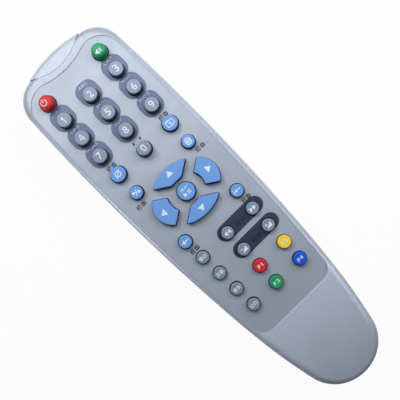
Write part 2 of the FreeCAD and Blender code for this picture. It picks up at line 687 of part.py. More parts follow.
def build_top_shell(keys):
    """The upper shell: sunk panel with its key holes, rim, palm swell and screw bosses."""
    shell = casing_form(0.0).common(box(-CASE_WIDTH, CASE_WIDTH, -CASE_LENGTH, CASE_LENGTH,
                                        PARTING_HEIGHT, HEADROOM))
    recess = prism(panel_face(0.0), PARTING_HEIGHT, HEADROOM).cut(panel_floor())
    ledge = prism(panel_face(PANEL_LEDGE_WIDTH), PARTING_HEIGHT, HEADROOM).cut(profile_solid(PANEL_LEDGE_DEPTH))
    shell = shell.cut(recess).cut(ledge)
    shell = shell.cut(casing_form(WALL))
    groove_top = PARTING_HEIGHT + LIP_HEIGHT + 2 * LIP_GAP
    shell = shell.cut(prism(plan_face(WALL - LIP_THICKNESS - LIP_GAP), PARTING_HEIGHT, groove_top))
    groove = prism(plan_face(-PARTING_GROOVE_DEPTH), PARTING_HEIGHT, PARTING_HEIGHT + PARTING_GROOVE_WIDTH)
    groove = groove.cut(prism(plan_face(PARTING_GROOVE_DEPTH), 0.0, HEADROOM))
    shell = shell.cut([groove, seam_cylinder(SEAM_GAP, 0.0)])
    for spot in screw_spots():
        ceiling = surface_height(spot.y, WALL) + WALL / 4
        shell = shell.fuse(cylinder(UPPER_BOSS_DIAMETER / 2, BOARD_TOP_Z, ceiling, spot.x, spot.y))
    pilot_top = SCREW_SEAT_HEIGHT + SCREW_LENGTH + SCREW_HOLE_GAP
    pilots = [cylinder(SCREW_DIAMETER / 2 + SCREW_PILOT_GAP, 0.0, pilot_top, spot.x, spot.y)
              for spot in screw_spots()]
    holes = [key_block(key, HOLE_GAP, MAT_TOP_Z, HEADROOM) for key in keys]
    return shell.cut(pilots + holes).removeSplitter()


def door_opening():
    """The space the sliding door fills in the lower shell, with its clearance."""
    skin = DOOR_SKIN_HALF_WIDTH + DOOR_GAP
    lower = box(-skin, skin, -CASE_LENGTH, DOOR_FRONT_Y, CUT_START_Z, LEDGE_TOP_Z)
    upper = box(-DOOR_HALF_WIDTH, DOOR_HALF_WIDTH, -CASE_LENGTH, DOOR_FRONT_Y, LEDGE_TOP_Z, WALL + DOOR_GAP)
    end_top = DOOR_END_HEIGHT + DOOR_GAP
    end = box(-skin, skin, -CASE_LENGTH, BAY_BACK_Y - BAY_WALL / 2, CUT_START_Z, end_top)
    around = box(-skin, skin, -CASE_LENGTH, BAY_BACK_Y + DOOR_WRAP_REACH, CUT_START_Z, end_top)
    return [lower, upper, end, around.cut(casing_form(DOOR_THICKNESS + DOOR_GAP))]


def build_bottom_shell():
    """The lower shell: lip, cell bay, door ledges and the bosses that carry the board."""
    shell = casing_form(0.0).common(box(-CASE_WIDTH, CASE_WIDTH, -CASE_LENGTH, CASE_LENGTH,
                                        CUT_START_Z, PARTING_HEIGHT))
    shell = shell.cut(casing_form(WALL))
    lip_top = PARTING_HEIGHT + LIP_HEIGHT
    lip = prism(plan_face(WALL - LIP_THICKNESS), PARTING_HEIGHT - LIP_THICKNESS, lip_top)
    lip = lip.cut(prism(plan_face(WALL), 0.0, HEADROOM))
    bay_block = box(-BAY_HALF_WIDTH - BAY_WALL, BAY_HALF_WIDTH + BAY_WALL, BAY_BACK_Y - BAY_WALL / 2,
                    BAY_FRONT_Y + BAY_WALL, WALL / 2, BAY_ROOF_Z + BAY_ROOF)
    bay_form = casing_form(WALL / 2).common(box(-CASE_WIDTH, CASE_WIDTH, -CASE_LENGTH, CASE_LENGTH,
                                                CUT_START_Z, PARTING_HEIGHT))
    bay_block = bay_block.common(bay_form.fuse(prism(plan_face(WALL + LIP_GAP), 0.0, HEADROOM)))
    bosses = [cylinder(LOWER_BOSS_DIAMETER / 2, WALL / 2, BOARD_Z, spot.x, spot.y) for spot in screw_spots()]
    shell = shell.fuse([lip, bay_block] + bosses)
    bay = box(-BAY_HALF_WIDTH, BAY_HALF_WIDTH, BAY_BACK_Y, BAY_FRONT_Y, CUT_START_Z, BAY_ROOF_Z)
    cuts = [bay, seam_cylinder(SEAM_GAP, WINDOW_SILL_HEIGHT)] + door_opening()
    for spot in screw_spots():
        cuts.append(cylinder(SCREW_HEAD_DIAMETER / 2 + SCREW_HOLE_GAP, CUT_START_Z, SCREW_SEAT_HEIGHT,
                             spot.x, spot.y))
        cuts.append(cylinder(SCREW_DIAMETER / 2 + SCREW_HOLE_GAP, 0.0, HEADROOM, spot.x, spot.y))
    return shell.cut(cuts).removeSplitter()


def build_nose_window():
    """The window that closes the nose, held by a tongue under the roof and ears behind the front wall."""
    front_centre_y = HALF_LENGTH - WINDOW_FRONT_RADIUS
    front = cylinder(WINDOW_FRONT_RADIUS, WINDOW_SILL_HEIGHT, HEADROOM, 0.0, front_centre_y)
    window = front.common(seam_cylinder(0.0, 0.0)).common(profile_solid(0.0))
    front_top = []
    for edge in window.Edges:
        middle = edge.valueAt((edge.FirstParameter + edge.LastParameter) / 2)
        on_front = abs(math.hypot(middle.x, middle.y - front_centre_y) - WINDOW_FRONT_RADIUS) < 0.01
        if on_front and middle.z > PARTING_HEIGHT and edge.BoundBox.ZLength < SHORT_EDGE_HEIGHT:
            front_top.append(edge)
    window = window.makeFillet(TOP_EDGE_RADIUS, front_top)
    front_bottom = [edge for edge in window.Edges if edge.BoundBox.ZMax < WINDOW_SILL_HEIGHT + EDGE_TOLERANCE
                    and edge.BoundBox.YMax > FRONT_WALL_Y + WINDOW_BULGE / 2]
    window = window.makeFillet(WINDOW_BOTTOM_ROUND, front_bottom)
    half_pocket = WINDOW_POCKET_WIDTH / 2
    pocket = cylinder(WINDOW_FRONT_RADIUS - WINDOW_WALL, WINDOW_SILL_HEIGHT + WINDOW_FLOOR, HEADROOM,
                      0.0, front_centre_y)
    pocket = pocket.common(box(-half_pocket, half_pocket, 0.0, CASE_LENGTH, 0.0, HEADROOM))
    tongue_inset = WALL + TONGUE_GAP
    pocket = pocket.common(profile_solid(tongue_inset + TONGUE_THICKNESS))
    tongue = box(-TONGUE_WIDTH / 2, TONGUE_WIDTH / 2, SEAM_MIDDLE_Y - TONGUE_REACH,
                 SEAM_MIDDLE_Y + TONGUE_THICKNESS, PARTING_HEIGHT, HEADROOM)
    tongue = tongue.common(profile_solid(tongue_inset))
    tongue = tongue.cut(profile_solid(tongue_inset + TONGUE_THICKNESS))
    ears = []
    ear_back = FRONT_WALL_Y - WALL - EAR_GAP - EAR_THICKNESS
    for side in (-1, 1):
        near, far = sorted((side * half_pocket, side * EAR_SPAN / 2))
        ear_z = WINDOW_SILL_HEIGHT + WINDOW_FLOOR
        ear = box(near, far, ear_back, FRONT_WALL_Y, ear_z, ear_z + EAR_HEIGHT)
        ears.append(ear.common(prism(plan_face(WALL + EAR_GAP), 0.0, HEADROOM)))
    return window.cut(pocket).fuse([tongue] + ears).removeSplitter()


def build_battery_door():
    """The door: a skin flush with the underside that wraps up the tail, side flanges and grip grooves."""
    skin_zone = box(-DOOR_SKIN_HALF_WIDTH, DOOR_SKIN_HALF_WIDTH, -CASE_LENGTH, DOOR_FRONT_Y - DOOR_GAP,
                    CUT_START_Z, DOOR_END_HEIGHT)
    outer = casing_form(0.0)
    skin = outer.cut(casing_form(DOOR_THICKNESS)).common(skin_zone)
    flange_half_width = DOOR_HALF_WIDTH - DOOR_GAP
    flange = box(-flange_half_width, flange_half_width, BAY_BACK_Y, DOOR_FRONT_Y - DOOR_GAP,
                 LEDGE_TOP_Z + DOOR_GAP / 2, DOOR_THICKNESS)
    flange = flange.common(outer)
    door = skin.fuse(flange).removeSplitter()
    grooves = []
    for index in range(GRIP_COUNT):
        y = DOOR_FRONT_Y - GRIP_SETBACK - index * GRIP_PITCH
        grooves.append(box(-GRIP_LENGTH / 2, GRIP_LENGTH / 2, y - GRIP_WIDTH / 2, y + GRIP_WIDTH / 2,
                           CUT_START_Z, GRIP_DEPTH))
    return door.cut(grooves)


def board_outline(margin, back_y):
    """The board's outline from above, clear of the shell by a margin."""
    return plan_face(WALL + margin).common(
        Part.makePlane(2 * CASE_WIDTH, BOARD_FRONT_Y - back_y, V(-CASE_WIDTH, back_y, 0)))


def build_circuit_board():
    """The board, with a hole for each case screw."""
    board = prism(board_outline(BOARD_MARGIN, BOARD_BACK_Y).Faces[0], BOARD_Z, BOARD_TOP_Z)
    holes = [cylinder(SCREW_DIAMETER / 2 + SCREW_HOLE_GAP, 0.0, HEADROOM, spot.x, spot.y)
             for spot in screw_spots()]
    return board.cut(holes)


def build_keypad_mat(keys):
    """The rubber sheet over the board, with a collar round each key's stem."""
    face = board_outline(BOARD_MARGIN + MAT_MARGIN, BOARD_BACK_Y + MAT_MARGIN).Faces[0]
    mat = prism(face, BOARD_TOP_Z, MAT_TOP_Z)
    bore_radius = STEM_DIAMETER / 2 + MAT_HOLE_GAP
    collars = []
    bores = []
    for key in keys:
        spot = key_spot(key)
        collar_top = flange_top(key) - FLANGE_THICKNESS - KEY_TRAVEL - COLLAR_GAP
        if collar_top > MAT_TOP_Z + COLLAR_GAP:
            collars.append(cylinder(bore_radius + COLLAR_WALL, BOARD_TOP_Z, collar_top, spot.x, spot.y))
        bores.append(cylinder(bore_radius, 0.0, HEADROOM, spot.x, spot.y))
    for spot in screw_spots():
        bores.append(cylinder(UPPER_BOSS_DIAMETER / 2 + MAT_HOLE_GAP, 0.0, HEADROOM, spot.x, spot.y))
    return mat.fuse(collars).cut(bores).removeSplitter()


def build_contact_pads(keys):
    """A split round pad on the board under each key's pill."""
    halves = []
    slot = box(-PAD_SPLIT / 2, PAD_SPLIT / 2, -PAD_DIAMETER, PAD_DIAMETER, 0.0, HEADROOM)
    disc = cylinder(PAD_DIAMETER / 2, BOARD_TOP_Z, BOARD_TOP_Z + PAD_THICKNESS).cut(slot)
    for key in keys:
        pad = disc.copy()
        pad.translate(key_spot(key))
        halves.extend(pad.Solids)
    return Part.Compound(halves)


def cell_spots():
    """Left and right cell: where each stands across the bay and which way its nub points."""
    return (("battery_left", -CELL_SPACING / 2, 1), ("battery_right", CELL_SPACING / 2, -1))


def build_cell(x, nub_side):
    """One cell lying along Y, its nub against the plate at the end it points to."""
    front_y = BAY_FRONT_Y - PLATE_THICKNESS
    back_y = BAY_BACK_Y + PLATE_THICKNESS
    can_length = CELL_LENGTH - CELL_NUB_HEIGHT
    nub_tip = front_y if nub_side > 0 else back_y
    direction = V(0, -nub_side, 0)
    nub = Part.makeCylinder(CELL_NUB_DIAMETER / 2, CELL_NUB_HEIGHT, V(x, nub_tip, CELL_Z), direction)
    can_start = V(x, nub_tip - nub_side * CELL_NUB_HEIGHT, CELL_Z)
    can = Part.makeCylinder(CELL_DIAMETER / 2, can_length, can_start, direction)
    return can.fuse(nub)


def build_plate(x, width, y):
    """A flat contact plate against one end of the bay, its front face at y."""
    half_height = PLATE_HEIGHT / 2
    return box(x - width / 2, x + width / 2, y, y + PLATE_THICKNESS,
               CELL_Z - half_height, CELL_Z + half_height)


def arc_from_tangent(start, corner, end):
    """The arc from start to end whose end tangents meet at the corner, which is as far from both."""
    chord_middle = (start + end) / 2
    half_chord = (end - start).Length / 2
    half_turn = math.acos(half_chord / (corner - start).Length)
    share = math.tan(half_turn / 2) / math.tan(half_turn)
    return Part.Arc(start, chord_middle + (corner - chord_middle) * share, end).toShape()


def coil_path(radius, pitch, turns):
    """A coil's centre line about Z, each quarter turn two arcs that share their tangents."""
    points = []
    tangents = []
    for quarter in range(4 * turns + 1):
        angle = quarter * math.pi / 2
        points.append(V(radius * math.cos(angle), radius * math.sin(angle), pitch * quarter / 4))
        tangent = V(-radius * math.sin(angle), radius * math.cos(angle), pitch / (2 * math.pi))
        tangent.normalize()
        tangents.append(tangent)
    edges = []
    for start, end, leaving, arriving in zip(points, points[1:], tangents, tangents[1:]):
        span = end - start
        along = span.dot(leaving + arriving)
        turn = 2 * (1 - leaving.dot(arriving))
        reach = (math.sqrt(along ** 2 + turn * span.dot(span)) - along) / turn
        first_corner = start + leaving * reach
        second_corner = end - arriving * reach
        joint = (first_corner + second_corner) / 2
        edges.append(arc_from_tangent(start, first_corner, joint))
        edges.append(arc_from_tangent(joint, second_corner, end))
    return Part.Wire(edges)


def coiled_wire(path, wire_radius):
    """A round wire along a path of arcs: one ring-shaped side for each arc and a flat face at each end."""
    first_arc = path.Edges[0]
    section = Part.makeCircle(wire_radius, first_arc.valueAt(first_arc.FirstParameter),
                              first_arc.tangentAt(first_arc.FirstParameter))
    faces = [Part.Face(Part.Wire(section))]
    for arc in path.Edges:
        turn = math.degrees(arc.LastParameter - arc.FirstParameter)
        faces.append(section.revolve(arc.Curve.Center, arc.Curve.Axis, turn))
        section = section.copy()
        section.rotate(arc.Curve.Center, arc.Curve.Axis, turn)
    faces.append(Part.Face(Part.Wire(section)))
    shell = Part.makeShell(faces)
    shell.sewShape()
    wire = Part.makeSolid(shell)
    if wire.Volume < 0.0:
        wire.reverse()
    return wire


def build_spring(x, plate_y, side):
    """A coil between a plate and the flat end of a cell; side tells which way it reaches."""
    pitch = (SPRING_LENGTH - 2 * SPRING_WIRE_RADIUS) / SPRING_TURNS
    coil = coiled_wire(coil_path(SPRING_RADIUS, pitch, SPRING_TURNS), SPRING_WIRE_RADIUS)
    coil.rotate(V(0, 0, 0), V(1, 0, 0), -90.0 * side)
    coil.translate(V(x, plate_y + side * SPRING_WIRE_RADIUS, CELL_Z))
    return coil


def build_case_screws():
    """Four pan-head screws with a cross recess, as separate solids."""
    screws = []
    for spot in screw_spots():
        head_z = SCREW_SEAT_HEIGHT - SCREW_HEAD_HEIGHT
        head = cylinder(SCREW_HEAD_DIAMETER / 2, head_z, SCREW_SEAT_HEIGHT, spot.x, spot.y)
        shank = cylinder(SCREW_DIAMETER / 2, SCREW_SEAT_HEIGHT, SCREW_SEAT_HEIGHT + SCREW_LENGTH,
                         spot.x, spot.y)
        long = SCREW_CROSS_LENGTH / 2
        short = SCREW_CROSS_WIDTH / 2
        recess_top = head_z + SCREW_CROSS_DEPTH
        cross = [box(spot.x - long, spot.x + long, spot.y - short, spot.y + short, 0.0, recess_top),
                 box(spot.x - short, spot.x + short, spot.y - long, spot.y + long, 0.0, recess_top)]
        screws.append(head.fuse(shank).cut(cross))
    return Part.Compound(screws)


def build_ir_led():
    """The infrared emitter behind the window, its leads bent up to the board."""
    z = BOARD_Z - LED_DROP
    radius = LED_DIAMETER / 2
    flange = Part.makeCylinder(LED_FLANGE_DIAMETER / 2, LED_FLANGE_LENGTH, V(0, LED_BACK_Y, z), V(0, 1, 0))
    barrel = Part.makeCylinder(radius, LED_LENGTH - radius, V(0, LED_BACK_Y, z), V(0, 1, 0))
    dome = Part.makeSphere(radius, V(0, LED_BACK_Y + LED_LENGTH - radius, z))
    leads = []
    half = LED_LEAD_WIDTH / 2
    bend_y = LED_BACK_Y - LED_LEAD_LENGTH
    for side in (-1, 1):
        x = side * LED_LEAD_SPACING / 2
        leads.append(box(x - half, x + half, bend_y, LED_BACK_Y, z - half, z + half))
        leads.append(box(x - half, x + half, bend_y, bend_y + LED_LEAD_WIDTH, z - half, BOARD_Z))
    return barrel.fuse([flange, dome] + leads).removeSplitter()


def build_controller_chip():
    """The controller under the board, with a row of legs on each long side."""
    top_z = BOARD_Z - CHIP_LIFT
    half_length = CHIP_LENGTH / 2
    half_width = CHIP_WIDTH / 2
    body = box(-half_length, half_length, CHIP_Y - half_width, CHIP_Y + half_width,
               top_z - CHIP_THICKNESS, top_z)
    legs = []
    first_x = -CHIP_LEG_PITCH * (CHIP_LEG_COUNT - 1) / 2
    for index in range(CHIP_LEG_COUNT):
        x = first_x + index * CHIP_LEG_PITCH
        half = CHIP_LEG_WIDTH / 2
        legs.append(box(x - half, x + half, CHIP_Y - half_width - CHIP_LEG_REACH,
                        CHIP_Y + half_width + CHIP_LEG_REACH, BOARD_Z - CHIP_LEG_THICKNESS, BOARD_Z))
    return body.fuse(legs).removeSplitter()


def build_resonator():
    """The resonator: a small upright block under the board."""
    half_length = RESONATOR_LENGTH / 2
    half_width = RESONATOR_WIDTH / 2
    block = box(RESONATOR_X - half_width, RESONATOR_X + half_width, RESONATOR_Y - half_length,
                RESONATOR_Y + half_length, BOARD_Z - RESONATOR_HEIGHT, BOARD_Z)
    upright = [edge for edge in block.Edges if edge.BoundBox.ZLength > RESONATOR_HEIGHT / 2]
    return block.makeFillet(half_width / 2, upright)


def build_capacitor():
    """The capacitor: a can lying against the underside of the board."""
    start = V(CAPACITOR_X, CAPACITOR_Y - CAPACITOR_LENGTH / 2, BOARD_Z - CAPACITOR_DIAMETER / 2)
    return Part.makeCylinder(CAPACITOR_DIAMETER / 2, CAPACITOR_LENGTH, start, V(0, 1, 0))


def build_transistor():
    """The transistor that drives the emitter: an upright can with one flat side."""
    radius = TRANSISTOR_DIAMETER / 2
    can = cylinder(radius, BOARD_Z - TRANSISTOR_HEIGHT, BOARD_Z, TRANSISTOR_X, TRANSISTOR_Y)
    flat = box(TRANSISTOR_X - radius, TRANSISTOR_X + radius, TRANSISTOR_Y + TRANSISTOR_FLAT,
               TRANSISTOR_Y + radius, 0.0, HEADROOM)
    return can.cut(flat)


def build_resistors():
    """A row of small resistors lying against the underside of the board."""
    bodies = []
    for index in range(RESISTOR_COUNT):
        start = V(RESISTOR_X + index * RESISTOR_PITCH, RESISTOR_Y - RESISTOR_LENGTH / 2,
                  BOARD_Z - RESISTOR_DIAMETER / 2)
        bodies.append(Part.makeCylinder(RESISTOR_DIAMETER / 2, RESISTOR_LENGTH, start, V(0, 1, 0)))
    return Part.Compound(bodies)


def build_contacts():
    """The contact plates and coils at both ends of the bay, by name."""
    front_plate_y = BAY_FRONT_Y - PLATE_THICKNESS
    back_face_y = BAY_BACK_Y + PLATE_THICKNESS
    bridge_width = CELL_SPACING + PLATE_WIDTH
    left_x = -CELL_SPACING / 2
    right_x = CELL_SPACING / 2
    return {
        "positive_plate": build_plate(left_x, PLATE_WIDTH, front_plate_y),
        "negative_plate": build_plate(right_x, PLATE_WIDTH, front_plate_y),
        "bridge_plate": build_plate(0.0, bridge_width, BAY_BACK_Y),
        "negative_spring": build_spring(right_x, front_plate_y, -1),
        "bridge_spring": build_spring(left_x, back_face_y, 1),
    }


def build_all():
    """Every part of the handset by its name."""
    keys = all_keys()
    parts = {
        "top_shell": build_top_shell(keys),
        "bottom_shell": build_bottom_shell(),
        "nose_window": build_nose_window(),
        "battery_door": build_battery_door(),
        "keypad_mat": build_keypad_mat(keys),
        "circuit_board": build_circuit_board(),
        "contact_pads": build_contact_pads(keys),
        "ir_led": build_ir_led(),
        "controller_chip": build_controller_chip(),
        "resonator": build_resonator(),
        "capacitor": build_capacitor(),
        "transistor": build_transistor(),
        "resistors": build_resistors(),
        "case_screws": build_case_screws(),
    }
    for name, x, nub_side in cell_spots():
        parts[name] = build_cell(x, nub_side)
    parts.update(build_contacts())
    for key in keys:
        parts[key.name] = build_key(key)
    return parts


def main():
    """Write one STEP file for each part."""
    os.makedirs("parts", exist_ok=True)
    for name, shape in build_all().items():
        shape.exportStep(f"parts/{name}.step")
        print(name, len(shape.Solids), "solids", round(shape.Volume, 1), "mm3", shape.isValid())


main()
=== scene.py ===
"""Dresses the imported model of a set-top box handset and lights it on a pale table.

The marks and the printed layers are in millimetres, and are turned into metres where a mesh is made. The
finishes and the studio are in metres. Every printed layer is a thin closed sheet laid on the surface under
it, so it follows the arch of the casing and the crown of each key.
"""
import json
import logging
import math
from dataclasses import dataclass
from enum import Enum

import bmesh
import bpy
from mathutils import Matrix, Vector
from mathutils.bvhtree import BVHTree
from mathutils.geometry import tessellate_polygon


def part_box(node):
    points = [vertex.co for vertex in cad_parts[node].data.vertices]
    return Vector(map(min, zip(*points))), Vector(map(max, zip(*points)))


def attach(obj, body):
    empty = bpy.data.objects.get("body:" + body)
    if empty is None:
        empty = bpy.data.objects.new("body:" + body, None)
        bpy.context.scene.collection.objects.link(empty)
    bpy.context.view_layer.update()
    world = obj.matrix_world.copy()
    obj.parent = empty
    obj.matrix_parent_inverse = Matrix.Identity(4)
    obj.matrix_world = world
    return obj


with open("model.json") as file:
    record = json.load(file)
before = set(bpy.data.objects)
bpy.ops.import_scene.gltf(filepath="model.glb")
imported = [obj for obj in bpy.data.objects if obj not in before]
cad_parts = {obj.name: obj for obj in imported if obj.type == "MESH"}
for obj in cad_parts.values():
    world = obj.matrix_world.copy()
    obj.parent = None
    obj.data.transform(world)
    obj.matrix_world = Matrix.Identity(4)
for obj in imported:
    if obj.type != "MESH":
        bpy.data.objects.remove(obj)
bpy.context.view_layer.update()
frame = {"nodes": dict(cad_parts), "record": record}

MM = 0.001
CORNER_STEPS = 8
RING_STEPS = 30
DISC_STEPS = 32
STAR_POINTS = 5
LETTER_STEPS = 5
LETTER_WELD = 0.0002
SLIVER_AREA = 1e-9
LOG = logging.getLogger("handset")

# Noise seldom leaves this span
CLOUD_SPAN = (0.3, 0.7)

# Sockets of a Mix node that mixes colours
MIX_LOW, MIX_HIGH, MIX_RESULT = 6, 7, 2

WHITE = (1.0, 1.0, 1.0)

Point = tuple[float, float]
Span = tuple[float, float]
Place = tuple[float, float, float]
Loop = list[Point]
Region = list[Loop]
Colour = tuple[float, float, float]
Sheet = bmesh.types.BMesh
Socket = bpy.types.NodeSocket
Material = bpy.types.Material


def shade(red: int, green: int, blue: int) -> Colour:
    """Turn a colour as it is seen on a screen, 0 to 255, into linear light.

    Args:
        red: red as seen.
        green: green as seen.
        blue: blue as seen.

    Returns:
        The same colour as linear values from 0 to 1.
    """
    def linear(value: int) -> float:
        """Undo the screen curve for one value."""
        part = value / 255
        return part / 12.92 if part <= 0.04045 else ((part + 0.055) / 1.055) ** 2.4
    return linear(red), linear(green), linear(blue)


def scaled(colour: Colour, factor: float) -> Colour:
    """A colour made lighter or darker."""
    return tuple(min(1.0, part * factor) for part in colour)


# Loops: outlines of the marks, in millimetres

def moved(loop: Loop, x: float, y: float, turn: float = 0.0) -> Loop:
    """Turn a loop about the origin and then move it.

    Args:
        loop: the outline.
        x: how far it moves to the right.
        y: how far it moves towards the nose.
        turn: angle in degrees, anticlockwise.

    Returns:
        The new outline.
    """
    c, s = math.cos(math.radians(turn)), math.sin(math.radians(turn))
    return [(x + c * px - s * py, y + s * px + c * py) for px, py in loop]


def arc(radius: float, start: float, end: float, steps: int) -> Loop:
    """Points along an arc about the origin.

    Args:
        radius: radius of the arc.
        start: first angle in degrees.
        end: last angle in degrees.
        steps: number of steps between them.

    Returns:
        The points, both ends included.
    """
    angles = [math.radians(start + (end - start) * step / steps) for step in range(steps + 1)]
    return [(radius * math.cos(angle), radius * math.sin(angle)) for angle in angles]


def disc(radius: float, steps: int = DISC_STEPS) -> Loop:
    """A full circle about the origin."""
    return arc(radius, 0.0, 360.0, steps)[:-1]


def slab(width: float, height: float, corner: float = 0.0) -> Loop:
    """A rectangle about the origin with rounded corners.

    Args:
        width: full width.
        height: full height.
        corner: corner radius.

    Returns:
        The outline, anticlockwise.
    """
    if corner <= 0.0:
        x, y = width / 2, height / 2
        return [(-x, -y), (x, -y), (x, y), (-x, y)]
    loop: Loop = []
    for index, (sx, sy) in enumerate(((1, 1), (-1, 1), (-1, -1), (1, -1))):
        quarter = arc(corner, 90.0 * index, 90.0 * (index + 1), CORNER_STEPS)
        loop += moved(quarter, sx * (width / 2 - corner), sy * (height / 2 - corner))
    return loop


def bar(x0: float, y0: float, x1: float, y1: float, width: float) -> Loop:
    """A straight stroke with square ends.

    Args:
        x0: where it starts, to the right.
        y0: where it starts, towards the nose.
        x1: where it ends, to the right.
        y1: where it ends, towards the nose.
        width: width of the stroke.

    Returns:
        The outline.
    """
    turn = math.degrees(math.atan2(y1 - y0, x1 - x0))
    return moved(slab(math.hypot(x1 - x0, y1 - y0), width), (x0 + x1) / 2, (y0 + y1) / 2, turn)


def wedge(width: float, height: float, turn: float = 0.0) -> Loop:
    """A triangle that points along +X before it is turned.

    Args:
        width: length from its foot to its point.
        height: height of its foot.
        turn: angle in degrees.

    Returns:
        The outline.
    """
    return moved([(-width / 2, -height / 2), (width / 2, 0.0), (-width / 2, height / 2)], 0.0, 0.0, turn)


def open_ring(radius: float, stroke: float, start: float, end: float) -> Loop:
    """A ring that is open between its two ends.

    Args:
        radius: radius of the middle of the stroke.
        stroke: width of the stroke.
        start: first angle in degrees.
        end: last angle in degrees.

    Returns:
        The outline.
    """
    return arc(radius + stroke / 2, start, end, RING_STEPS) + arc(radius - stroke / 2, end, start, RING_STEPS)


def star(radius: float, waist: float) -> Loop:
    """A five-pointed star about the origin.

    Args:
        radius: how far its points reach.
        waist: how far the corners between them reach.

    Returns:
        The outline.
    """
    reaches = [(radius, waist)[step % 2] for step in range(2 * STAR_POINTS)]
    turns = [math.pi * step / STAR_POINTS for step in range(2 * STAR_POINTS)]
    return [(reach * math.sin(turn), reach * math.cos(turn)) for reach, turn in zip(reaches, turns)]


# Finishes

class Rule(Enum):
    """How two values of a material are joined, in Blender's words."""

    ADD = "ADD"
    SUBTRACT = "SUBTRACT"
    MULTIPLY = "MULTIPLY"
    MAXIMUM = "MAXIMUM"


class ShaderTree:
    """One material's nodes, with short calls for the ones that this handset's finishes need."""

    def __init__(self, name: str) -> None:
        """Start a material that has only its main shader.

        Args:
            name: name of the material.
        """
        self.material = bpy.data.materials.new(name)
        self.material.use_nodes = True
        self.nodes = self.material.node_tree.nodes
        self.links = self.material.node_tree.links
        self.shader = self.nodes["Principled BSDF"]
        self.place = self.nodes.new("ShaderNodeTexCoord").outputs["Object"]

    def set(self, **values: float) -> None:
        """Set sockets of the main shader, with spaces written as underscores."""
        for name, value in values.items():
            self.shader.inputs[name.replace("_", " ")].default_value = value

    def use(self, name: str, value: Socket) -> None:
        """Feed one socket of the main shader."""
        self.links.new(value, self.shader.inputs[name])

    def stretched(self, scale: Place) -> Socket:
        """The place on the object with each direction scaled.

        Args:
            scale: factor for each direction.

        Returns:
            The scaled place.
        """
        node = self.nodes.new("ShaderNodeVectorMath")
        node.operation = "MULTIPLY"
        self.links.new(self.place, node.inputs[0])
        node.inputs[1].default_value = scale
        return node.outputs[0]

    def noise(self, scale: float, detail: float = 2.0, source: Socket | None = None) -> Socket:
        """Cloudy noise over the surface.

        Args:
            scale: how many clouds there are in a metre.
            detail: levels of finer clouds.
            source: the place to read it at.

        Returns:
            A value from 0 to 1.
        """
        node = self.nodes.new("ShaderNodeTexNoise")
        node.inputs["Scale"].default_value = scale
        node.inputs["Detail"].default_value = detail
        self.links.new(source or self.place, node.inputs["Vector"])
        return node.outputs["Fac"]

    def clouds(self, scale: float, low: float, high: float, detail: float = 2.0) -> Socket:
        """Cloudy noise that runs from one value to another."""
        return self.remap(self.noise(scale, detail), *CLOUD_SPAN, low, high)

    def cells(self, scale: float) -> Socket:
        """Grains with one random value each, as flakes in paint have.

        Args:
            scale: how many grains there are in a metre.

        Returns:
            A value from 0 to 1.
        """
        node = self.nodes.new("ShaderNodeTexVoronoi")
        node.inputs["Scale"].default_value = scale
        self.links.new(self.place, node.inputs["Vector"])
        split = self.nodes.new("ShaderNodeSeparateColor")
        self.links.new(node.outputs["Color"], split.inputs[0])
        return split.outputs[0]

    def axis(self, name: str, source: Socket | None = None) -> Socket:
        """One coordinate of a place or a direction.

        Args:
            name: X, Y or Z.
            source: the direction, or nothing for the place on the object.

        Returns:
            The coordinate, in metres for a place.
        """
        split = self.nodes.new("ShaderNodeSeparateXYZ")
        self.links.new(source or self.place, split.inputs[0])
        return split.outputs[name]

    def facing_up(self) -> Socket:
        """How far the surface faces up, 1 where it is level."""
        return self.axis("Z", self.nodes.new("ShaderNodeNewGeometry").outputs["Normal"])

    def remap(self, value: Socket, low: float, high: float, to_low: float, to_high: float) -> Socket:
        """Stretch a value from one span onto another, held at both ends.

        Args:
            value: what goes in.
            low: value at the start of the span.
            high: value at its end.
            to_low: what comes out at the start.
            to_high: what comes out at the end.

        Returns:
            The stretched value.
        """
        node = self.nodes.new("ShaderNodeMapRange")
        self.links.new(value, node.inputs["Value"])
        for name, number in (("From Min", low), ("From Max", high), ("To Min", to_low), ("To Max", to_high)):
            node.inputs[name].default_value = number
        return node.outputs["Result"]

    def join(self, rule: Rule, first: Socket, second: Socket) -> Socket:
        """Join two values.

        Args:
            rule: how they are joined.
            first: the first value.
            second: the second value.

        Returns:
            The joined value.
        """
        node = self.nodes.new("ShaderNodeMath")
        node.operation = rule.value
        self.links.new(first, node.inputs[0])
        self.links.new(second, node.inputs[1])
        return node.outputs[0]

    def sum(self, first: Socket, second: Socket) -> Socket:
        """The sum of two values."""
        return self.join(Rule.ADD, first, second)

    def product(self, first: Socket, second: Socket) -> Socket:
        """The product of two values."""
        return self.join(Rule.MULTIPLY, first, second)

    def mix(self, value: Socket, low: Colour | Socket, high: Colour) -> Socket:
        """A colour that goes from one to another with a value.

        Args:
            value: 0 for the first colour, 1 for the second.
            low: the first colour, or the socket that gives it.
            high: the second colour.

        Returns:
            The mixed colour.
        """
        node = self.nodes.new("ShaderNodeMix")
        node.data_type = "RGBA"
        self.links.new(value, node.inputs["Factor"])
        if isinstance(low, tuple):
            node.inputs[MIX_LOW].default_value = (*low, 1.0)
        else:
            self.links.new(low, node.inputs[MIX_LOW])
        node.inputs[MIX_HIGH].default_value = (*high, 1.0)
        return node.outputs[MIX_RESULT]

    def shades(self, value: Socket, colour: Colour, low: float, high: float) -> Socket:
        """One colour that goes from one brightness to another with a value."""
        return self.mix(value, scaled(colour, low), scaled(colour, high))

    def relief(self, height: Socket, clouds_and_rim_shade: float) -> None:
        """Turn a value into a fine relief of the surface.

        Args:
            height: the value.
            clouds_and_rim_shade: how deep it goes, in millimetres.
        """
        node = self.nodes.new("ShaderNodeBump")
        node.inputs["Strength"].default_value = 1.0
        node.inputs["Distance"].default_value = clouds_and_rim_shade * MM
        self.links.new(height, node.inputs["Height"])
        self.use("Normal", node.outputs[0])


